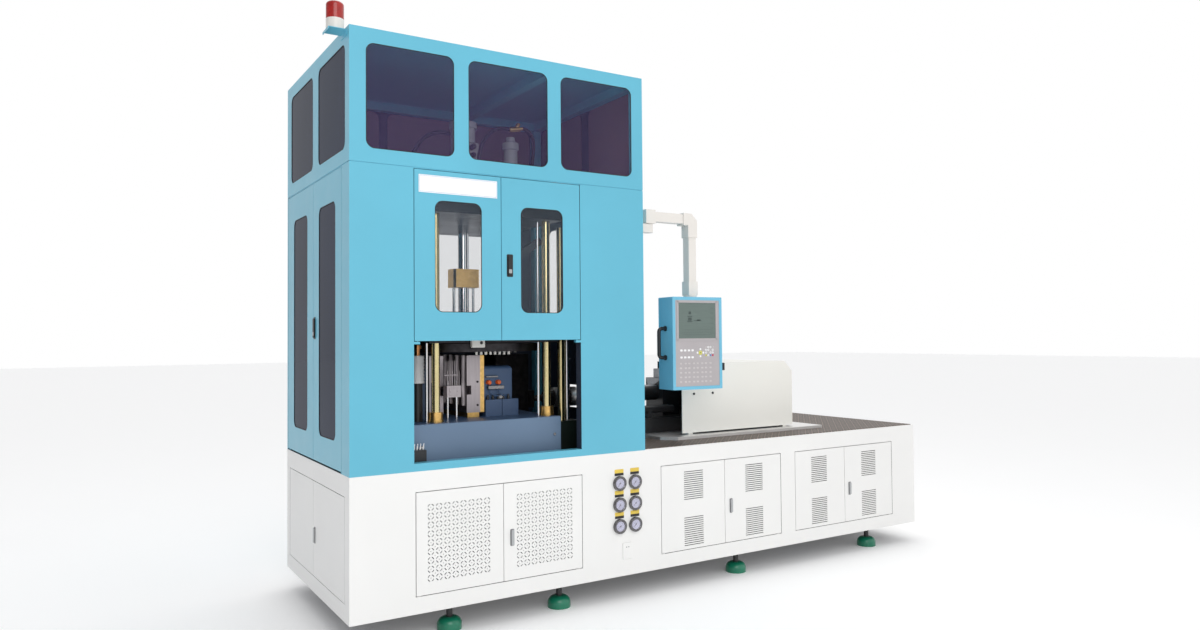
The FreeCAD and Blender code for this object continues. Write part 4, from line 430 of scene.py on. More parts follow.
def dress_press():
    """Chrome rods, brass flanges and blocks, pale neck holders and the bed's darker top."""
    bar_lo, bar_hi = lo("top_platen"), hi("top_platen")
    bars = [(x, y) for x in (bar_lo.x + BAR_INSET, bar_hi.x - BAR_INSET)
            for y in (bar_lo.y + BAR_INSET, bar_hi.y - BAR_INSET)]

    def on_flange(point, normal):
        return near_any(point, bars, NUT_RADIUS + NEAR) and not near_any(point, bars, BAR_RADIUS + NEAR)

    repaint("tie_bars", CHROME, lambda p, n: not near_any(p, bars, NUT_RADIUS + NEAR))
    repaint("tie_bars", BRASS, on_flange)
    block_top = lo("guide_columns").z + COLUMN_BLOCK_HEIGHT + NEAR
    thin = hi("guide_columns").x - THIN_COLUMN_REACH
    repaint("guide_columns", BLOCK_GREEN, lambda p, n: p.z < block_top)
    repaint("guide_columns", CHROME, lambda p, n: p.z > block_top and p.x > thin)
    axis = middle("moving_platen")
    platen_top = lo("moving_platen").z + PLATEN_THICKNESS
    block_low = platen_top + GUIDE_BLOCK_RISE - NEAR
    block_high = platen_top + GUIDE_BLOCK_RISE + GUIDE_BLOCK_HEIGHT + NEAR

    def on_guide_block(point, normal):
        on_rod = near_point(point, axis.x, axis.y, ROD_RADIUS + NEAR / 2)
        return block_low < point.z < block_high and not on_rod

    repaint("moving_platen", CHROME, lambda p, n: p.z > platen_top + 0.03)
    repaint("moving_platen", BRASS, on_guide_block)
    repaint("rotary_table", OFF_WHITE, lambda p, n: p.z < lo("rotary_table").z + NECK_LENGTH)
    mould = lo("blow_mould_right")
    foot_top = mould.z + MOULD_FOOT_HEIGHT
    strip_start = mould.x + MOULD_WIDTH + HAIR
    strip_end = strip_start + MOULD_STRIP
    for name in ("blow_mould_left", "blow_mould_right"):
        repaint(name, BRASS, lambda p, n: p.z < foot_top)
    repaint("blow_mould_right", BRASS, lambda p, n: strip_start < p.x < strip_end)
    repaint("blow_mould_right", CHROME, lambda p, n: p.x > strip_end)
    ram_end = hi("blow_mould_left").x - MOULD_WIDTH - HAIR
    repaint("blow_mould_left", CHROME, lambda p, n: p.x < ram_end)
    repaint("press_bed", CLAMP_BLUE, lambda p, n: n.z > FACING)


def dress_clamps():
    """Black terminal block, the filter bowl in three materials and the comb's pale rods."""
    corner = lo("clamp_units")
    bed_top = hi("press_bed").z
    comb = middle("take_out_comb")
    comb_reach = hi("take_out_comb").x - comb.x

    def on_bowl(point):
        return near_point(point, corner.x + BOWL_OFFSET[0], corner.y + BOWL_OFFSET[1], BOWL_RADIUS)

    repaint("clamp_units", BLACK, lambda p, n: p.z < bed_top - 0.01)
    repaint("clamp_units", MACHINE_BLACK, lambda p, n: on_bowl(p) and p.z < bed_top + BOWL_RISE)
    repaint("clamp_units", RIBBED_WHITE, lambda p, n: on_bowl(p) and p.z > bed_top + BOWL_RISE)
    repaint("clamp_units", COPPER, lambda p, n: on_bowl(p) and p.z > bed_top + BOWL_TOP)
    repaint("clamp_units", CHROME, lambda p, n: abs(p.y - comb.y) < 0.015 and abs(p.x - comb.x) < comb_reach)


CYLINDERS_REACH = (0.35, 1.1)
CYLINDERS_RISE = 0.22
TRAY_HEIGHT = 0.021
TREAD_THICKNESS = 0.0031


def dress_injection():
    """Second materials of the injection side, the deck, the feet, the gauges and the panel."""
    unit = lo("injection_unit")
    rear_half = middle("injection_unit").y
    low_x, high_x = (unit.x + reach for reach in CYLINDERS_REACH)

    def on_cylinders(point, normal):
        return low_x < point.x < high_x and point.z > unit.z + CYLINDERS_RISE and point.y > rear_half

    repaint("injection_unit", ZINC, on_cylinders)
    repaint("injection_bed", MACHINE_BLACK, lambda p, n: p.z > lo("injection_bed").z + TRAY_HEIGHT)
    # the cover's inward faces are painted dark grey: painted shade inside the cover
    repaint("injection_cover", INNER_PAINTED_SHADE, inward("injection_cover"))
    repaint("deck_plates", FRAME_DARK, lambda p, n: p.z < lo("deck_plates").z + TREAD_THICKNESS)
    repaint("levelling_feet", MACHINE_BLACK, lambda p, n: p.z > FOOT_DOME + NEAR / 2)
    dial_y = lo("gauges").y + DIAL_DEPTH - HAIR
    repaint("gauges", DIAL, lambda p, n: n.y < -FACING and p.y > dial_y)
    face_top = hi("panel_face").z + FACE_MARGIN
    repaint("panel_case", PIPE_GREY, lambda p, n: p.z > face_top + NEAR / 2)


def dress_walls():
    """Painted shade on the insides of the cladding, a lighter blue on the hood's frame as painted light, each
    wall's own tint of pane, and a pale painted light on the inside of the hood's far panes.
    """
    # the inward faces of the base and the backs of its doors are painted dark grey: painted shade behind the
    # slots
    repaint("base_cabinet", INNER_PAINTED_SHADE, inward("base_cabinet"))
    for name in VENT_DOORS + LOUVRE_DOORS:
        repaint(name, INNER_PAINTED_SHADE, lambda p, n: n.y > LEANING)
    for name in BASE_SIDE_DOORS:
        repaint(name, INNER_PAINTED_SHADE, lambda p, n: n.x > LEANING)
    # wall faces that look into the press column are painted near-black blue: painted shade
    for name in COLUMN_WALLS:
        repaint(name, WALL_PAINTED_SHADE, faces_column_middle())
    split = lo("upper_cabinet").z
    # the frame above the split gets the lighter blue: painted light
    repaint("column_frame", FRAME_BLUE_PAINTED_LIGHT, lambda p, n: p.z > split + 0.05)
    repaint("fixed_windows", CLEAR, lambda p, n: p.z < split)
    left = lo("fixed_windows").x + 0.02
    rear, right = hi("fixed_windows").y - 0.02, hi("fixed_windows").x - 0.02
    repaint("fixed_windows", SMOKED, lambda p, n: p.z > split and (p.x < left or p.y > rear or p.x > right))

    def far_pane_insides_painted_light(point, normal):
        on_rear = point.y > rear and normal.y < -LEANING
        on_right = point.x > right and normal.x < -LEANING
        return point.z > split and (on_rear or on_right)

    # the inner faces of the rear and right panes get the pale tint: painted light
    repaint("fixed_windows", REAR_PANE_PAINTED_LIGHT, far_pane_insides_painted_light)


# ---- mesh helpers
def piece(name, mesh_data, material, body, smooth=False):
    """Makes an object from a bmesh, gives it a material and lets it ride on a body."""
    mesh = bpy.data.meshes.new(name)
    bmesh.ops.recalc_face_normals(mesh_data, faces=mesh_data.faces)
    mesh_data.to_mesh(mesh)
    mesh_data.free()
    materials = material if isinstance(material, (list, tuple)) else [material]
    for entry in materials:
        mesh.materials.append(entry)
    if smooth:
        mesh.polygons.foreach_set("use_smooth", [True] * len(mesh.polygons))
        mesh.set_sharp_from_angle(angle=math.radians(38))
    made = bpy.data.objects.new(name, mesh)
    bpy.context.scene.collection.objects.link(made)
    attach(made, body)
    return made


def basis(normal, up=Vector(UP)):
    """Right, up and outward directions of a surface that faces along the normal."""
    normal = Vector(normal).normalized()
    side = up.cross(normal)
    if side.length < 0.01:
        side = Vector(RIGHT)
    side.normalize()
    return side, normal.cross(side), normal


def rounded_outline(width, height, radius, steps=5):
    """Points of a rectangle with round corners, about its middle."""
    points = []
    radius = min(radius, width / 2 - 1e-5, height / 2 - 1e-5)
    corners = ((1, 1, 0), (-1, 1, 90), (-1, -1, 180), (1, -1, 270))
    for sign_x, sign_y, start in corners:
        for step in range(steps + 1):
            angle = math.radians(start + 90 * step / steps)
            points.append((
                sign_x * (width / 2 - radius) + radius * math.cos(angle),
                sign_y * (height / 2 - radius) + radius * math.sin(angle),
            ))
    return points


def add_slab(mesh, centre, size, normal, radius=0.002, edge=0.0006, steps=5, index=0, up=Vector(UP)):
    """Adds a rounded plate to a bmesh: its back face is on the centre, and its front edges are eased."""
    width, height, thickness = size
    side, rise, out = basis(normal, up)
    rings = []
    for inset, level in ((0, 0), (0, thickness - edge), (edge, thickness)):
        outline = rounded_outline(width - 2 * inset, height - 2 * inset, max(radius - inset, 0.0002), steps)
        rings.append([mesh.verts.new(Vector(centre) + side * x + rise * y + out * level) for x, y in outline])
    count = len(rings[0])
    faces = []
    for lower, upper in zip(rings, rings[1:]):
        for k in range(count):
            faces.append(mesh.faces.new((lower[k], lower[(k + 1) % count], upper[(k + 1) % count], upper[k])))
    faces.append(mesh.faces.new(rings[-1]))
    faces.append(mesh.faces.new(list(reversed(rings[0]))))
    for face in faces:
        face.material_index = index


def slab(name, centre, size, normal, material, body, radius=0.002, edge=0.0006, steps=5, up=Vector(UP)):
    """A rounded plate as a piece of its own."""
    mesh = bmesh.new()
    add_slab(mesh, centre, size, normal, radius, edge, steps, 0, up)
    return piece(name, mesh, material, body)


def add_turned(mesh, centre, axis, profile, steps=32, index=0, ring_shaped=False):
    """Adds a turned shape to a bmesh, from (radius, height along the axis) pairs; a ring has no end caps."""
    side, rise, out = basis(axis, Vector(UP) if abs(Vector(axis).z) < FACING else Vector((0, 1, 0)))
    rings = []
    for radius, height in profile:
        if radius < 1e-6:
            rings.append([mesh.verts.new(Vector(centre) + out * height)])
            continue
        ring = []
        for k in range(steps):
            angle = 2 * math.pi * k / steps
            offset = side * (radius * math.cos(angle)) + rise * (radius * math.sin(angle))
            ring.append(mesh.verts.new(Vector(centre) + offset + out * height))
        rings.append(ring)
    made = []
    if ring_shaped:
        rings.append(rings[0])
    for lower, upper in zip(rings, rings[1:]):
        for k in range(steps):
            following = (k + 1) % steps
            if len(lower) == 1:
                made.append(mesh.faces.new((lower[0], upper[following], upper[k])))
            elif len(upper) == 1:
                made.append(mesh.faces.new((lower[k], lower[following], upper[0])))
            else:
                made.append(mesh.faces.new((lower[k], lower[following], upper[following], upper[k])))
    for ring, flip in ((rings[0], True), (rings[-1], False)):
        if len(ring) > 1 and not ring_shaped:
            made.append(mesh.faces.new(list(reversed(ring)) if flip else ring))
    for face in made:
        face.material_index = index


def turned(name, centre, axis, profile, material, body, steps=32):
    """A turned shape as a piece of its own."""
    mesh = bmesh.new()
    add_turned(mesh, centre, axis, profile, steps)
    return piece(name, mesh, material, body, smooth=True)


def pipe(name, points, radius, material, body, sides=12):
    """A bent pipe through a few chosen points, on a smooth curve."""
    curve = bpy.data.curves.new(name, "CURVE")
    curve.dimensions = "3D"
    curve.bevel_depth = radius
    curve.bevel_resolution = sides // 4
    curve.resolution_u = 10
    curve.use_fill_caps = True
    spline = curve.splines.new("NURBS")
    spline.points.add(len(points) - 1)
    for target, point in zip(spline.points, points):
        target.co = (*point, 1)
    spline.order_u = 3
    spline.use_endpoint_u = True
    made = bpy.data.objects.new(name, curve)
    curve.materials.append(material)
    bpy.context.scene.collection.objects.link(made)
    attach(made, body)
    return made


def add_screw(mesh, centre, axis, radius=0.006, height=0.004, index=0):
    """A socket-head screw: a turned head with a sunk socket."""
    add_turned(mesh, centre, axis, [
        (radius, 0), (radius, height * 0.8), (radius * 0.85, height),
        (radius * 0.5, height), (radius * 0.45, height * 0.45), (0, height * 0.4),
    ], 16, index)


def add_frame(mesh, centre, size, normal, band, thickness, radius, steps=6):
    """Adds a flat band that runs round a rounded rectangle, such as a window seal."""
    side, rise, out = basis(normal)
    rings = []
    for inset, level in ((0, 0), (0, thickness), (band, thickness), (band, 0)):
        outline = rounded_outline(size[0] - 2 * inset, size[1] - 2 * inset, radius - inset, steps)
        rings.append([mesh.verts.new(Vector(centre) + side * x + rise * y + out * level) for x, y in outline])
    count = len(rings[0])
    for first, second in zip(rings, rings[1:] + rings[:1]):
        for k in range(count):
            mesh.faces.new((first[k], first[(k + 1) % count], second[(k + 1) % count], second[k]))


# ---- window seals
SEAL_BAND = 0.004
SEAL_THICKNESS = 0.0028
WALL_REACH = 0.0015
JOIN_GAP = 0.002


def seal_pane(name, low, high, normal, body):
    """A black rubber seal inside the cut-out in front of a pane."""
    normal = Vector(normal)
    centre = (low + high) / 2
    across = Vector((0, 0, 1)).cross(normal)
    width = abs((high - low).dot(across)) - 2 * PANE_LAP
    height = high.z - low.z - 2 * PANE_LAP
    thickness = abs((high - low).dot(normal))
    mesh = bmesh.new()
    outside = centre + normal * (thickness / 2)
    add_frame(mesh, outside, (width, height), normal, SEAL_BAND, SEAL_THICKNESS, WINDOW_RADIUS)
    return piece(name, mesh, RUBBER, body)


def window_seals():
    for pane_name, normal, body in (
        ("front_pane_left", FRONT, "front_door_left"), ("front_pane_right", FRONT, "front_door_right"),
        ("side_pane_back", LEFT, "side_door_back"), ("side_pane_front", LEFT, "side_door_front"),
    ):
        seal_pane("seal_" + pane_name.replace("_pane", ""), lo(pane_name), hi(pane_name), normal, body)
    for index, (low, high, normal) in enumerate(fixed_panes()):
        seal_pane("seal_fixed_" + str(index + 1), low, high, normal, "machine")


def fixed_panes():
    """Box and outward direction of each pane that doesn't open, found from its mesh."""
    mesh = NODES["fixed_windows"].data
    whole_lo, whole_hi = lo("fixed_windows"), hi("fixed_windows")
    patches = {}
    for face in mesh.polygons:
        for axis in (0, 1):
            for sign, wall in ((-1, whole_lo[axis]), (1, whole_hi[axis])):
                if face.normal[axis] * sign > FACING and abs(face.center[axis] - wall) < WALL_REACH:
                    patches.setdefault((axis, sign), []).append(face)
    found = []
    for (axis, sign), faces in sorted(patches.items()):
        other = 1 - axis
        groups = []
        for face in sorted(faces, key=lambda f: f.center[other]):
            points = [mesh.vertices[v].co for v in face.vertices]
            low = Vector([min(p[k] for p in points) for k in range(3)])
            high = Vector([max(p[k] for p in points) for k in range(3)])
            for group in groups:
                apart = any(low[k] > group[1][k] + JOIN_GAP or high[k] < group[0][k] - JOIN_GAP
                            for k in (other, 2))
                if not apart:
                    group[0] = Vector([min(a, b) for a, b in zip(group[0], low)])
                    group[1] = Vector([max(a, b) for a, b in zip(group[1], high)])
                    break
            else:
                groups.append([low, high])
        normal = [0, 0, 0]
        normal[axis] = sign
        for low, high in merge_boxes(groups, other):
            found.append((low, high, tuple(normal)))
    return found


def merge_boxes(groups, other):
    """Joins boxes that touch, until none do."""
    changed = True
    while changed:
        changed = False
        for a in range(len(groups)):
            for b in range(a + 1, len(groups)):
                first, second = groups[a], groups[b]
                if all(first[0][k] <= second[1][k] + JOIN_GAP and second[0][k] <= first[1][k] + JOIN_GAP
                       for k in (other, 2)):
                    low = Vector([min(p, q) for p, q in zip(first[0], second[0])])
                    high = Vector([max(p, q) for p, q in zip(first[1], second[1])])
                    groups[a] = [low, high]
                    del groups[b]
                    changed = True
                    break
            if changed:
                break
    return groups


# ---- locks and nameplate
TALL_PLATE = (0.040, 0.133, 0.0022)
SHORT_PLATE = (0.026, 0.098, 0.0022)
LOCK_PLATES = (
    ("front_lock", "front_door_right", FRONT, TALL_PLATE, BLACK),
    ("side_lock", "side_door_front", LEFT, TALL_PLATE, BLACK),
    ("base_side_lock", "base_side_door_front", LEFT, SHORT_PLATE, ZINC),
    ("vent_lock", "vent_door_right", FRONT, SHORT_PLATE, ZINC),
    ("louvre_lock_1", "louvre_door_2", FRONT, SHORT_PLATE, ZINC),
    ("louvre_lock_2", "louvre_door_4", FRONT, SHORT_PLATE, ZINC),
)
CYLINDER_SIZE = (0.020, 0.024, 0.0009)
CYLINDER_SINK = 0.0007
CYLINDER_RISE = 0.024
NAMEPLATE_SIZE = (0.480, 0.100, 0.002)
NAMEPLATE_FROM_LEFT = 0.265
NAMEPLATE_FROM_TOP = 0.077
BORDER_SIZE = (0.470, 0.090)
BORDER_BAND = 0.0012
BORDER_THICKNESS = 0.0003


def lock_plates():
    """A backing plate behind each lever, thinner than the lever's stand-off."""
    front = lo("front_door_right").y
    side = lo("side_door_front").x
    for name, body, normal, size, material in LOCK_PLATES:
        centre = middle(name)
        if normal == FRONT:
            centre.y = front
        else:
            centre.x = side
        slab(name + "_plate", centre, size, normal, material, body, radius=0.006, edge=0.0007)


def lock_cylinders():
    """A small bright lock cylinder at the foot of each tall door's lever."""
    for name, normal, axis in (("front_lock", FRONT, 1), ("side_lock", LEFT, 0)):
        centre = middle(name)
        centre[axis] = lo(name)[axis] + CYLINDER_SINK
        centre.z = lo(name).z + CYLINDER_RISE
        slab(name + "_cylinder", centre, CYLINDER_SIZE, normal, LEVER, name, radius=0.005, edge=0.0003)


def nameplate():
    """A blank plate at the top of the left door, with a thin border."""
    door_lo, door_hi = lo("front_door_left"), hi("front_door_left")
    centre = Vector((door_lo.x + NAMEPLATE_FROM_LEFT, door_lo.y, door_hi.z - NAMEPLATE_FROM_TOP))
    door = "front_door_left"
    slab("nameplate", centre, NAMEPLATE_SIZE, FRONT, PLATE_WHITE, door, radius=0.003, edge=0.0005)
    mesh = bmesh.new()
    face = centre + Vector(FRONT) * NAMEPLATE_SIZE[2]
    add_frame(mesh, face, BORDER_SIZE, FRONT, BORDER_BAND, BORDER_THICKNESS, radius=0.003)
    piece("nameplate_border", mesh, KEY_BLUE, door)


# ---- gauges
GAUGE_COLUMNS = 2
GAUGE_ROWS = 3
GAUGE_RADIUS = 0.0465
GAUGE_BODY_DEPTH = 0.04
NEEDLES = (215, 238, 232, 222, 225, 230)
GLASS_LIFT = 0.0052
GLASS_PROFILE = [(0.0334, 0), (0.0334, 0.0006), (0.026, 0.0014), (0, 0.0018)]
RIM_PROFILE = [
    (0.0312, 0), (0.0312, 0.002), (0.0335, 0.0045), (0.0385, 0.0078), (0.0413, 0.0078), (0.0413, 0),
]
TAG_SIZE = (0.067, 0.0235, 0.0018)
TAG_RISE = 0.0765
TAG_STRIP_SIZE = (0.067, 0.0155, 0.0018)
TAG_STRIP_RISE = 0.0565
SCALE_STEPS = 11
SCALE_START = -45
SCALE_PITCH = 27
MARK_WIDTH = 0.0009
NEEDLE_WIDTH = 0.0016
HUB_PROFILE = [(0.0045, 0), (0.0045, 0.002), (0.003, 0.003), (0, 0.003)]
SOCKET_SIZE = (0.070, 0.104, 0.006)
SOCKET_DROP = 0.115
SOCKET_SCREW_PROFILE = [(0.0035, 0), (0.0035, 0.0012), (0, 0.0014)]


def gauges():
    """Rims, glasses, dials and tags of the pressure gauges."""
    low, high = lo("gauges"), hi("gauges")
    tags = bmesh.new()
    marks = bmesh.new()
    glass = bmesh.new()
    rims = bmesh.new()
    row_pitch = (high.z - low.z - 2 * GAUGE_RADIUS) / (GAUGE_ROWS - 1)
    wall = high.y - GAUGE_BODY_DEPTH
    for column in range(GAUGE_COLUMNS):
        x = low.x + GAUGE_RADIUS if column == 0 else high.x - GAUGE_RADIUS
        for row in range(GAUGE_ROWS):
            z = low.z + GAUGE_RADIUS + row * row_pitch
            face = Vector((x, low.y + DIAL_DEPTH, z))
            add_dial(marks, face, NEEDLES[column * GAUGE_ROWS + row])
            add_turned(glass, face + Vector(FRONT) * GLASS_LIFT, FRONT, GLASS_PROFILE, 40)
            add_slab(tags, (x, wall, z + TAG_RISE), TAG_SIZE, FRONT, 0.002, 0.0004, 3, 0)
            add_slab(tags, (x, wall, z + TAG_STRIP_RISE), TAG_STRIP_SIZE, FRONT, 0.001, 0.0004, 3, 1)
            add_turned(rims, face, FRONT, RIM_PROFILE, 48, 0, True)
    piece("gauge_rims", rims, BEZEL, "machine", smooth=True)
    piece("gauge_tags", tags, [TAG_YELLOW, BLACK], "machine")
    piece("gauge_marks", marks, KEY_DARK, "machine")
    piece("gauge_glass", glass, pane("gauge_glass", (0.6, 0.6, 0.7), 0.12, 0.03), "machine", smooth=True)


def add_dial(mesh, face, needle_angle):
    """Scale marks, needle and hub on a dial."""
    for step in range(SCALE_STEPS):
        angle = math.radians(SCALE_START + SCALE_PITCH * step)
        add_mark(mesh, face, angle, 0.0250, 0.0290 if step % 5 == 0 else 0.0275, MARK_WIDTH)
    add_mark(mesh, face, math.radians(needle_angle), -0.010, 0.022, NEEDLE_WIDTH, NEEDLE_WIDTH)
    add_turned(mesh, face, FRONT, HUB_PROFILE, 16)


def add_mark(mesh, face, angle, start, end, width, height=0.0005):
    """A thin bar on a dial, from one radius to another."""
    along = Vector((math.cos(angle), 0, math.sin(angle)))
    across = Vector((-along.z, 0, along.x)) * (width / 2)
    lift = Vector((0, -height, 0))
    corners = [face + along * start - across, face + along * end - across,
               face + along * end + across, face + along * start + across]
    base = [mesh.verts.new(c) for c in corners]
    top = [mesh.verts.new(c + lift) for c in corners]
    mesh.faces.new(top)
    mesh.faces.new(list(reversed(base)))
    for k in range(4):
        mesh.faces.new((base[k], base[(k + 1) % 4], top[(k + 1) % 4], top[k]))


def socket_plate():
    """A small blank cover under the gauges."""
    low, high = lo("gauges"), hi("gauges")
    centre = Vector(((low.x + high.x) / 2 - 0.002, high.y - GAUGE_BODY_DEPTH, low.z - SOCKET_DROP))
    slab("socket_plate", centre, SOCKET_SIZE, FRONT, WHITE, "machine", radius=0.006, edge=0.002)
    mesh = bmesh.new()
    for offset in (-0.008, 0.008):
        add_turned(mesh, centre + Vector((offset, -SOCKET_SIZE[2], 0.025)), FRONT, SOCKET_SCREW_PROFILE, 12)
    piece("socket_screws", mesh, ZINC, "machine")


# ---- control panel
SCREEN_PLACE = (0.495, 0.237)
SCREEN_SIZE = (0.300, 0.240, 0.0008)
SCREEN_FRAME = (0.334, 0.274)
SCREEN_FRAME_BAND = 0.016
SCREEN_FRAME_THICKNESS = 0.0024
INK = 0.0003
SCREEN_DRAWING = (
    (-0.060, 0.052, 0.020, 0.018), (-0.060, 0.028, 0.040, 0.006), (-0.060, 0.010, 0.030, 0.020),
    (-0.060, -0.006, 0.042, 0.006), (0.000, 0.000, 0.060, 0.004), (0.012, 0.003, 0.030, 0.010),
)
PALE, BRIGHT, YELLOW, BLUE_KEY, RED_KEY = range(5)
UPPER_KEY = (0.019, 0.014, 0.0012)
UPPER_ROWS = (0.583, 0.664)
PAD_CENTRE = (0.560, 0.612)
ARROW_PAD = (
    (0, 0, 0.026, YELLOW), (-0.024, 0, 0.014, BRIGHT), (0.024, 0, 0.014, BRIGHT),
    (0, -0.024, 0.014, BRIGHT), (0, 0.024, 0.014, BRIGHT),
)
PAD_THICKNESS = 0.0014
NUMBER_CORNER = (0.690, 0.548)
NUMBER_KEY = (0.0135, 0.0125, 0.0012)
NUMBER_PITCH = 0.0185
NUMBER_ROWS = 4
BOTTOM_ROW = (YELLOW, BRIGHT, BLUE_KEY, RED_KEY)
LOWER_KEY = (0.018, 0.0115, 0.0010)
LOWER_ROWS = 5
LOWER_COLUMNS = 8


def panel_axes():
    """Origin at the top left of the face plate, with its right, down and outward directions and its size."""
    mesh = NODES["panel_face"].data
    front = max(mesh.polygons, key=lambda f: f.area)
    normal = front.normal.normalized()
    if normal.y > 0:
        normal = -normal
    right = normal.cross(Vector((0, 0, -1))).normalized()
    if right.x < 0:
        right = -right
    points = [v.co for v in mesh.vertices]
    start = min(p.dot(right) for p in points)
    end = max(p.dot(right) for p in points)
    depth = max(p.dot(normal) for p in points)
    top = max(p.z for p in points)
    low = min(p.z for p in points)
    origin = right * start + normal * depth + Vector((0, 0, top))
    return origin, right, Vector((0, 0, -1)), normal, end - start, top - low


def control_panel():
    """Screen and membrane keys on the face plate, placed by fractions of its width and height."""
    origin, right, down, out, width, height = panel_axes()
    body = "control_panel"

    def at(across, below):
        return origin + right * (across * width) + down * (below * height)

    def number_key(column, row):
        return at(*NUMBER_CORNER) + right * (NUMBER_PITCH * column) + down * (NUMBER_PITCH * row)

    screen_centre = at(*SCREEN_PLACE)
    glass = screen_centre + out * SCREEN_SIZE[2]
    mesh = bmesh.new()
    add_frame(mesh, screen_centre, SCREEN_FRAME, out, SCREEN_FRAME_BAND, SCREEN_FRAME_THICKNESS, 0.006)
    piece("screen_bezel", mesh, FACE_GREY, body)
    slab("screen", screen_centre, SCREEN_SIZE, out, SCREEN, body, radius=0.003, edge=0.0002)
    mesh = bmesh.new()
    for x, y, w, h in SCREEN_DRAWING:
        add_slab(mesh, glass + right * x - down * y, (w, h, INK), out, 0.001, 0.0001, 2)
    for k in range(6):
        place = glass + right * 0.120 - down * (0.085 - 0.034 * k)
        add_slab(mesh, place, (0.026, 0.002, INK), out, 0.0005, 0.0001, 2)
    for k in range(3):
        add_slab(mesh, glass + down * (0.062 + 0.016 * k), (0.240, 0.0012, INK), out, 0.0005, 0.0001, 2)
    piece("screen_drawing", mesh, plastic("screen_ink", (0.05, 0.075, 0.07), 0.4), body)
    keys = bmesh.new()
    for below in UPPER_ROWS:
        for column in range(4):
            add_slab(keys, at(0.130 + 0.084 * column, below), UPPER_KEY, out, 0.004, 0.0004, 3, BRIGHT)
    for dx, dy, size, index in ARROW_PAD:
        place = at(*PAD_CENTRE) + right * dx + down * dy
        add_slab(keys, place, (size, size, PAD_THICKNESS), out, 0.005, 0.0004, 3, index)
    for row in range(NUMBER_ROWS):
        for column in range(NUMBER_ROWS):
            upper = BRIGHT if (row + column) % 3 else PALE
            index = BOTTOM_ROW[column] if row == NUMBER_ROWS - 1 else upper
            add_slab(keys, number_key(column, row), NUMBER_KEY, out, 0.003, 0.0003, 3, index)
    for row in range(LOWER_ROWS):
        for column in range(LOWER_COLUMNS):
            centre = at(0.115 + 0.0945 * column + (0.012 if column % 2 else 0.0), 0.735 + 0.0528 * row)
            add_slab(keys, centre, LOWER_KEY, out, 0.003, 0.0003, 3, PALE)
    piece("keypad", keys, [KEY_PALE, KEY_WHITE, KEY_YELLOW, KEY_BLUE, KEY_RED, FACE_GREY], body)
    marks = bmesh.new()
    for row in range(NUMBER_ROWS):
        for column in range(NUMBER_ROWS):
            centre = number_key(column, row) + out * NUMBER_KEY[2]
            add_slab(marks, centre, (0.0040, 0.0050, HAIR), out, 0.0010, 0.00005, 2)
    add_slab(marks, at(*PAD_CENTRE) + out * PAD_THICKNESS, (0.006, 0.006, HAIR), out, 0.001, 0.00005, 2)
    piece("keypad_marks", marks, KEY_DARK, body)


# ---- press interior
MOULD_SCREW_RISES = (0.075, 0.22)
CAP_PROFILE = [(0.015, -0.004), (0.015, 0.020), (0.011, 0.026), (0, 0.026)]
MANIFOLD_BARS = (
    (0.075, 0.180, (0.110, 0.022, 0.026), 0.003), (0.050, 0.248, (0.085, 0.010, 0.018), 0.003),
    (0.112, 0.118, (0.044, 0.022, 0.022), 0.006),
)
PLUG_PROFILE = [(0.009, 0), (0.009, 0.012), (0.006, 0.020), (0.006, 0.030), (0, 0.031)]
CLAMP_SETBACK = 0.088
COMB_BLOCK_HEIGHT = 0.069
COMB_PLATE_RISE = 0.034
COMB_PLATE = (0.062, 0.044, 0.002)
PIN_COUNT = 7
PIN_PROFILE = [(0.0022, 0), (0.0022, 0.145), (0.001, 0.150), (0, 0.150)]
BOLT_COUNT = 9
BOLT_MARGIN = 0.09
BRACKET_HOLE_PROFILE = [(0.010, 0), (0.010, 0.0008), (0.006, 0.001), (0, 0.001)]
FERRULE_PROFILE = [(0.005, 0), (0.005, 0.014), (0.0028, 0.020), (0.0028, 0.034), (0, 0.035)]
FERRULE_LEAN = (0.15, 0, 1)
GUARD_GAP = 0.012
GUARD_THICKNESS = 0.003
GUARDS = (
    (-0.605, -0.135, -0.292, 0.272), (0.078, 0.358, -0.292, 0.272),
    (-0.135, 0.078, 0.082, 0.272), (-0.135, 0.078, -0.292, -0.082),
)
BRACE_SIZE = (0.058, 0.480, 0.030)
BRACE_DIRECTION = (0.823, 0, 0.567)
BRACE_OFFSET = (-0.213, -0.060, -0.328)
TRAY_MARGIN = 0.012
TRAY_THICKNESS = 0.0015


def press_details():
    """Screws of the bed and the mould, and the small parts round the clamp, the comb and the platen."""
    bed_lo, bed_hi = lo("press_bed"), hi("press_bed")
    screws = bmesh.new()
    for x, z in ((bed_lo.x + 0.16, bed_lo.z + 0.11), (bed_hi.x - 0.045, bed_lo.z + 0.13)):
        add_screw(screws, (x, bed_lo.y, z), FRONT, 0.009, 0.006)
    piece("bed_screws", screws, ZINC, "machine", smooth=True)
    mould = lo("blow_mould_right")
    holes = bmesh.new()
    for rise in MOULD_SCREW_RISES:
        add_screw(holes, (mould.x + 0.072, mould.y, mould.z + rise), FRONT, 0.007, 0.004)
    piece("mould_screws", holes, DARK_STEEL, "blow_mould_right", smooth=True)
    clamp_fittings()
    comb_pins()
    platen_details()
    terminal_wires()


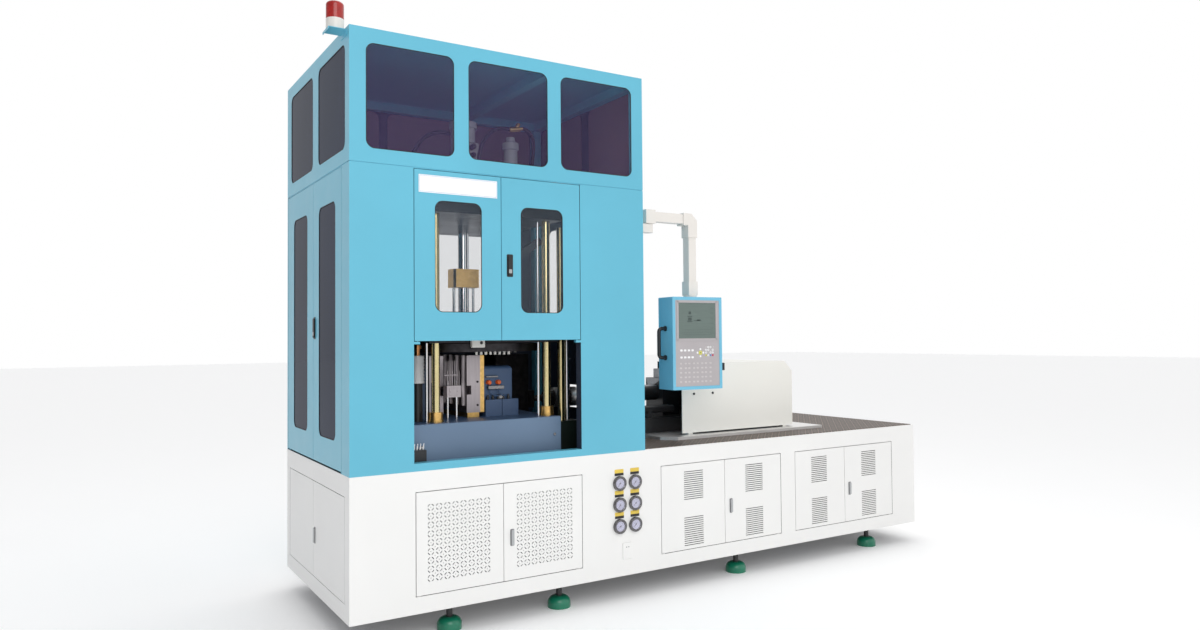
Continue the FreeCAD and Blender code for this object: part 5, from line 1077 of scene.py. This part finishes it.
def clamp_fittings():
    """Cartridge valves, fittings and short pipes in front of the right-hand clamp."""
    bed_top = hi("press_bed").z
    front = lo("blow_mould_right").y
    x = hi("blow_mould_right").x - CLAMP_SETBACK
    y = front + 0.026
    mesh = bmesh.new()
    for index in range(2):
        add_turned(mesh, (x + 0.028 + 0.066 * index, y, bed_top + 0.212), FRONT, CAP_PROFILE, 20)
    piece("clamp_caps", mesh, ORANGE, "machine", smooth=True)
    manifold = bmesh.new()
    for across, rise, size, radius in MANIFOLD_BARS:
        add_slab(manifold, (x + across, y + 0.004, bed_top + rise), size, FRONT, radius, 0.002)
    piece("clamp_manifold", manifold, ZINC, "machine")
    caps = bmesh.new()
    for index in range(5):
        add_turned(caps, (x + 0.018 + 0.036 * index, front + 0.012, bed_top + 0.104), UP, PLUG_PROFILE, 16)
    piece("valve_plugs", caps, BLACK, "machine", smooth=True)
    for index, (start, end) in enumerate(((0.03, 0.10), (0.09, 0.145))):
        pipe("clamp_pipe_" + str(index + 1), [
            (x + start, y - 0.010, bed_top + 0.170),
            (x + start, y - 0.024, bed_top + 0.150),
            (x + (start + end) / 2, y - 0.024, bed_top + 0.125),
            (x + end, y - 0.014, bed_top + 0.125),
        ], 0.004, CLAMP_BLUE, "machine")


def comb_pins():
    """A second row of thin pins on the comb, a cross strip near their tips, and the block's face plate."""
    low, high = lo("take_out_comb"), hi("take_out_comb")
    centre = (low.x + high.x) / 2
    width = high.x - low.x
    block_top = low.z + COMB_BLOCK_HEIGHT
    mesh = bmesh.new()
    for index in range(PIN_COUNT):
        x = low.x + 0.008 + index * (width - 0.016) / (PIN_COUNT - 1)
        add_turned(mesh, (x, high.y - 0.010, block_top), UP, PIN_PROFILE, 10)
    add_slab(mesh, (centre, high.y - 0.004, block_top + 0.062), (width, 0.010, 0.012), FRONT, 0.002, 0.001)
    piece("comb_rear_pins", mesh, TOOL_STEEL, "take_out_comb", smooth=True)
    plate = bmesh.new()
    height = low.z + COMB_PLATE_RISE
    add_slab(plate, (centre, low.y, height), COMB_PLATE, FRONT, 0.003, 0.0006)
    for x in (-0.022, 0.022):
        add_screw(plate, (centre + x, low.y - COMB_PLATE[2], height), FRONT, 0.004, 0.003)
    piece("comb_face_plate", plate, TOOL_STEEL, "take_out_comb")


def platen_details():
    """Bolts along the platen's front edge and a stop bracket under it."""
    low, high = lo("moving_platen"), hi("moving_platen")
    pitch = (high.x - low.x - 2 * BOLT_MARGIN) / (BOLT_COUNT - 1)
    mesh = bmesh.new()
    for index in range(BOLT_COUNT):
        add_screw(mesh, (low.x + BOLT_MARGIN + index * pitch, low.y, low.z + 0.03), FRONT, 0.008, 0.007)
    piece("platen_bolts", mesh, ZINC, "moving_platen", smooth=True)
    bracket = bmesh.new()
    centre = Vector((low.x + 0.30, low.y - 0.001, low.z + 0.006))
    add_slab(bracket, centre, (0.085, 0.070, 0.022), FRONT, 0.006, 0.002)
    add_slab(bracket, centre + Vector((-0.045, 0, 0.020)), (0.060, 0.022, 0.018), FRONT, 0.003, 0.002)
    piece("platen_bracket", bracket, OFF_WHITE, "moving_platen")
    hole = bmesh.new()
    add_turned(hole, centre + Vector((0.018, -0.022, -0.006)), FRONT, BRACKET_HOLE_PROFILE, 20)
    piece("platen_bracket_hole", hole, BLACK, "moving_platen", smooth=True)


def terminal_wires():
    """Ferrules on top of the terminal block beside the sill."""
    left = lo("front_door_left").x
    bed = lo("press_bed")
    mesh = bmesh.new()
    for index in range(5):
        place = (left + 0.014 + 0.018 * index, bed.y - 0.045, bed.z + 0.105)
        add_turned(mesh, place, FERRULE_LEAN, FERRULE_PROFILE, 12)
    piece("terminal_ferrules", mesh, KEY_WHITE, "machine", smooth=True)


def inner_guards():
    """Sheets in painted shade round the barrel in the right wall's cut-out, a brace on the back wall, and the
    base's tray in painted shade.
    """
    wall = lo("side_panel").x
    axis_y = hi("injection_unit").y - BARREL_SETBACK
    guards = bmesh.new()
    for near, far, low_edge, high_edge in GUARDS:
        centre = (wall - GUARD_GAP, axis_y + (near + far) / 2, BARREL_HEIGHT + (low_edge + high_edge) / 2)
        add_slab(guards, centre, (far - near, high_edge - low_edge, GUARD_THICKNESS), LEFT, 0.01, 0.0006)
    # the sheets carry the near-black blue of the wall insides: painted shade
    piece("cut_out_guards", guards, WALL_PAINTED_SHADE, "machine")
    corner = Vector((wall, hi("back_panel").y, lo("upper_cabinet").z))
    rise = Vector(BRACE_DIRECTION).normalized()
    slab("back_brace", corner + Vector(BRACE_OFFSET), BRACE_SIZE, FRONT, FRAME_DARK, "machine",
         radius=0.004, edge=0.001, steps=3, up=rise)
    low, high = lo("base_cabinet"), hi("base_cabinet")
    centre = ((low.x + high.x) / 2, (low.y + high.y) / 2, low.z + NEAR)
    size = (high.x - low.x - TRAY_MARGIN, high.y - low.y - TRAY_MARGIN, TRAY_THICKNESS)
    # the drip tray carries the dark grey of the base's insides: painted shade
    slab("drip_tray", centre, size, UP, INNER_PAINTED_SHADE, "machine")


# ---- hood interior
EJECTOR_PROFILE = [
    (0.060, 0), (0.060, 0.030), (0.046, 0.036), (0.046, 0.390), (0.056, 0.396), (0.056, 0.440),
    (0.030, 0.452), (0.030, 0.480), (0, 0.480),
]
EJECTOR_REACH = 0.34
BRANCH_PROFILE = [(0.014, -0.05), (0.018, -0.046), (0.018, 0.03), (0.012, 0.036), (0.012, 0.05), (0, 0.05)]
BRANCH_ARM_PROFILE = [(0.013, 0), (0.015, 0.004), (0.015, 0.040), (0.010, 0.046), (0, 0.046)]
COIL_PROFILE = [(0.018, 0), (0.018, 0.040), (0.012, 0.046), (0, 0.046)]
EJECTOR_PIPE_LEFT = (
    (-0.05, -0.090, 0.515), (-0.14, -0.10, 0.52), (-0.26, -0.12, 0.42),
    (-0.30, -0.12, 0.25), (-0.22, -0.08, 0.10), (-0.20, -0.08, 0.0),
)
EJECTOR_PIPE_RIGHT = (
    (0.045, -0.090, 0.530), (0.12, -0.09, 0.52), (0.15, -0.06, 0.38), (0.12, -0.02, 0.16), (0.10, 0, 0.0),
)


def hood_details():
    """Formed oil pipes, a branch fitting and the valve block beside the lift cylinder."""
    top = hi("top_platen").z
    cylinder = middle("lift_cylinder")
    reach = hi("lift_cylinder").z
    body = "machine"
    foot = Vector((cylinder.x + EJECTOR_REACH, cylinder.y - 0.02, top))
    branch = foot + Vector((-0.006, -0.090, 0.520))
    turned("ejector_cylinder", foot, UP, EJECTOR_PROFILE, GREY_CASTING, body, 40)
    turned("branch_body", branch, (1, 0, 0.2), BRANCH_PROFILE, BRASS, body, 20)
    turned("branch_arm", branch, (0.6, 0, 1), BRANCH_ARM_PROFILE, BRASS, body, 20)
    pipe("hood_pipe_1", [foot + Vector(point) for point in EJECTOR_PIPE_LEFT], 0.013, HOSE, body)
    pipe("hood_pipe_2", [foot + Vector(point) for point in EJECTOR_PIPE_RIGHT], 0.012, HOSE, body)
    x, y = cylinder.x, cylinder.y
    pipe("hood_pipe_3", [
        (x - 0.09, y, reach - 0.08), (x - 0.20, y, reach - 0.06), (x - 0.34, y + 0.02, reach - 0.20),
        (x - 0.36, y + 0.05, top + 0.12), (x - 0.34, y + 0.06, top),
    ], 0.014, HOSE, body)
    mesh = bmesh.new()
    add_slab(mesh, (x, y - 0.082, top + 0.30), (0.110, 0.180, 0.055), FRONT, 0.006, 0.004)
    piece("lift_valve_block", mesh, ZINC, body)
    mesh = bmesh.new()
    for row in range(3):
        add_turned(mesh, (x, y - 0.137, top + 0.245 + 0.055 * row), FRONT, COIL_PROFILE, 20)
    piece("lift_valve_coils", mesh, BLACK, body, smooth=True)


# ---- injection side
COVER_SCREWS = (0.107, 0.282)
COVER_SCREW_RISE = 0.290
BAND_COUNT = 5
BAND_START = 0.16
BAND_PITCH = 0.13
BAND_PROFILE = [(0.0605, 0), (0.070, 0.002), (0.070, 0.098), (0.0605, 0.100)]


def injection_details():
    """Screws of the cover and heater bands round the barrel."""
    cover = lo("injection_cover")
    mesh = bmesh.new()
    for across in COVER_SCREWS:
        add_screw(mesh, (cover.x + across, cover.y, cover.z + COVER_SCREW_RISE), FRONT, 0.0085, 0.006)
    piece("cover_screws", mesh, BLACK, "machine", smooth=True)
    barrel_y = hi("injection_unit").y - BARREL_SETBACK
    bands = bmesh.new()
    for index in range(BAND_COUNT):
        x = lo("injection_unit").x + BAND_START + BAND_PITCH * index
        add_turned(bands, (x, barrel_y, BARREL_HEIGHT), RIGHT, BAND_PROFILE, 40)
    piece("heater_bands", bands, LIGHT_STEEL, "injection_unit", smooth=True)


# ---- beacon
RIB_COUNT = 28
RIB_SIZE = (0.0042, 0.066, 0.0018)
RIB_RISE = 0.042
RIB_SINK = 0.0022
COLLAR_DROP = 0.006
COLLAR_PROFILE = [(-0.001, 0), (HAIR, 0.001), (HAIR, 0.008), (-0.001, 0.009)]


def beacon_details():
    """Ribs round the lens and a collar under it."""
    low, high = lo("beacon_lens"), hi("beacon_lens")
    centre = (low + high) / 2
    radius = (high.x - low.x) / 2
    ribs = bmesh.new()
    for index in range(RIB_COUNT):
        angle = 2 * math.pi * index / RIB_COUNT
        direction = Vector((math.cos(angle), math.sin(angle), 0))
        foot = Vector((centre.x, centre.y, low.z + RIB_RISE)) + direction * (radius - RIB_SINK)
        add_slab(ribs, foot, RIB_SIZE, direction, 0.001, 0.0006, 2)
    piece("beacon_ribs", ribs, RED, "machine")
    profile = [(radius + growth, height) for growth, height in COLLAR_PROFILE]
    turned("beacon_collar", (centre.x, centre.y, low.z - COLLAR_DROP), UP, profile, OFF_WHITE, "machine", 48)


# ---- studio
SHADE_SIDE = (0.34, 0.35, 0.375)
BRIGHT_SIDE = (1.0, 1.0, 1.0)
SHADE_SPAN = (-0.75, -0.12)
FLOOR_REACH = 60.0
FLOOR_GLOW = 0.08


def studio():
    """Pale floor, a soft surround that is dimmer on the left, and two soft lights."""
    floor_mesh = bmesh.new()
    signs = ((-1, -1), (1, -1), (1, 1), (-1, 1))
    floor_mesh.faces.new([floor_mesh.verts.new((x * FLOOR_REACH, y * FLOOR_REACH, 0)) for x, y in signs])
    mesh = bpy.data.meshes.new("studio_floor")
    floor_mesh.to_mesh(mesh)
    floor_mesh.free()
    floor = bpy.data.objects.new("studio_floor", mesh)
    bpy.context.scene.collection.objects.link(floor)
    pale = paint("studio_floor", (0.97, 0.97, 0.97), roughness=0.8, mottling=0.005, peel=0.0)
    glow = pale.node_tree.nodes["Principled BSDF"].inputs
    glow["Emission Color"].default_value = (1, 1, 1, 1)
    glow["Emission Strength"].default_value = FLOOR_GLOW
    mesh.materials.append(pale)
    world = bpy.data.worlds.new("studio")
    world.use_nodes = True
    tree = world.node_tree
    coordinates = tree.nodes.new("ShaderNodeTexCoord")
    split = tree.nodes.new("ShaderNodeSeparateXYZ")
    tree.links.new(coordinates.outputs["Generated"], split.inputs[0])
    spread = tree.nodes.new("ShaderNodeMapRange")
    spread.inputs["From Min"].default_value = SHADE_SPAN[0]
    spread.inputs["From Max"].default_value = SHADE_SPAN[1]
    tree.links.new(split.outputs["X"], spread.inputs["Value"])
    colours = ramp(tree, spread.outputs["Result"], [(0.0, SHADE_SIDE), (1.0, BRIGHT_SIDE)])
    tree.links.new(colours, tree.nodes["Background"].inputs["Color"])
    bpy.context.scene.world = world
    area_light("key", (-3.2, -6.5, 4.2), (-0.6, 0.0, 1.6), size=4.0, power=110.0)
    area_light("top", (0.5, 0.5, 7.5), (0.5, 0.0, 1.0), size=5.0, power=60.0)


def area_light(name, place, target, size, power):
    """A square soft light that faces a target."""
    light = bpy.data.lights.new(name, "AREA")
    light.size = size
    light.energy = power
    made = bpy.data.objects.new(name, light)
    made.location = place
    made.rotation_euler = (Vector(target) - Vector(place)).to_track_quat("-Z", "Y").to_euler()
    bpy.context.scene.collection.objects.link(made)


def camera():
    """The camera at the photograph's place and angle."""
    yaw, pitch, roll = (math.radians(v) for v in (CAMERA_YAW, CAMERA_PITCH, CAMERA_ROLL))
    forward = Vector((math.sin(yaw) * math.cos(pitch), math.cos(yaw) * math.cos(pitch), math.sin(pitch)))
    level = Vector((math.cos(yaw), -math.sin(yaw), 0))
    upright = level.cross(forward)
    right = level * math.cos(roll) + upright * math.sin(roll)
    up = upright * math.cos(roll) - level * math.sin(roll)
    data = bpy.data.cameras.new("camera")
    data.lens = CAMERA_LENS
    data.sensor_width = SENSOR_WIDTH
    data.clip_end = VIEW_DISTANCE
    made = bpy.data.objects.new("camera", data)
    rotation = Matrix((right, up, -forward)).transposed().to_4x4()
    made.matrix_world = Matrix.Translation(CAMERA_AT) @ rotation
    bpy.context.scene.collection.objects.link(made)
    bpy.context.scene.camera = made
    bpy.context.scene.view_settings.view_transform = "Standard"


dress_frame()
dress_details()
window_seals()
lock_plates()
lock_cylinders()
nameplate()
gauges()
socket_plate()
control_panel()
press_details()
inner_guards()
hood_details()
injection_details()
beacon_details()
studio()
camera()
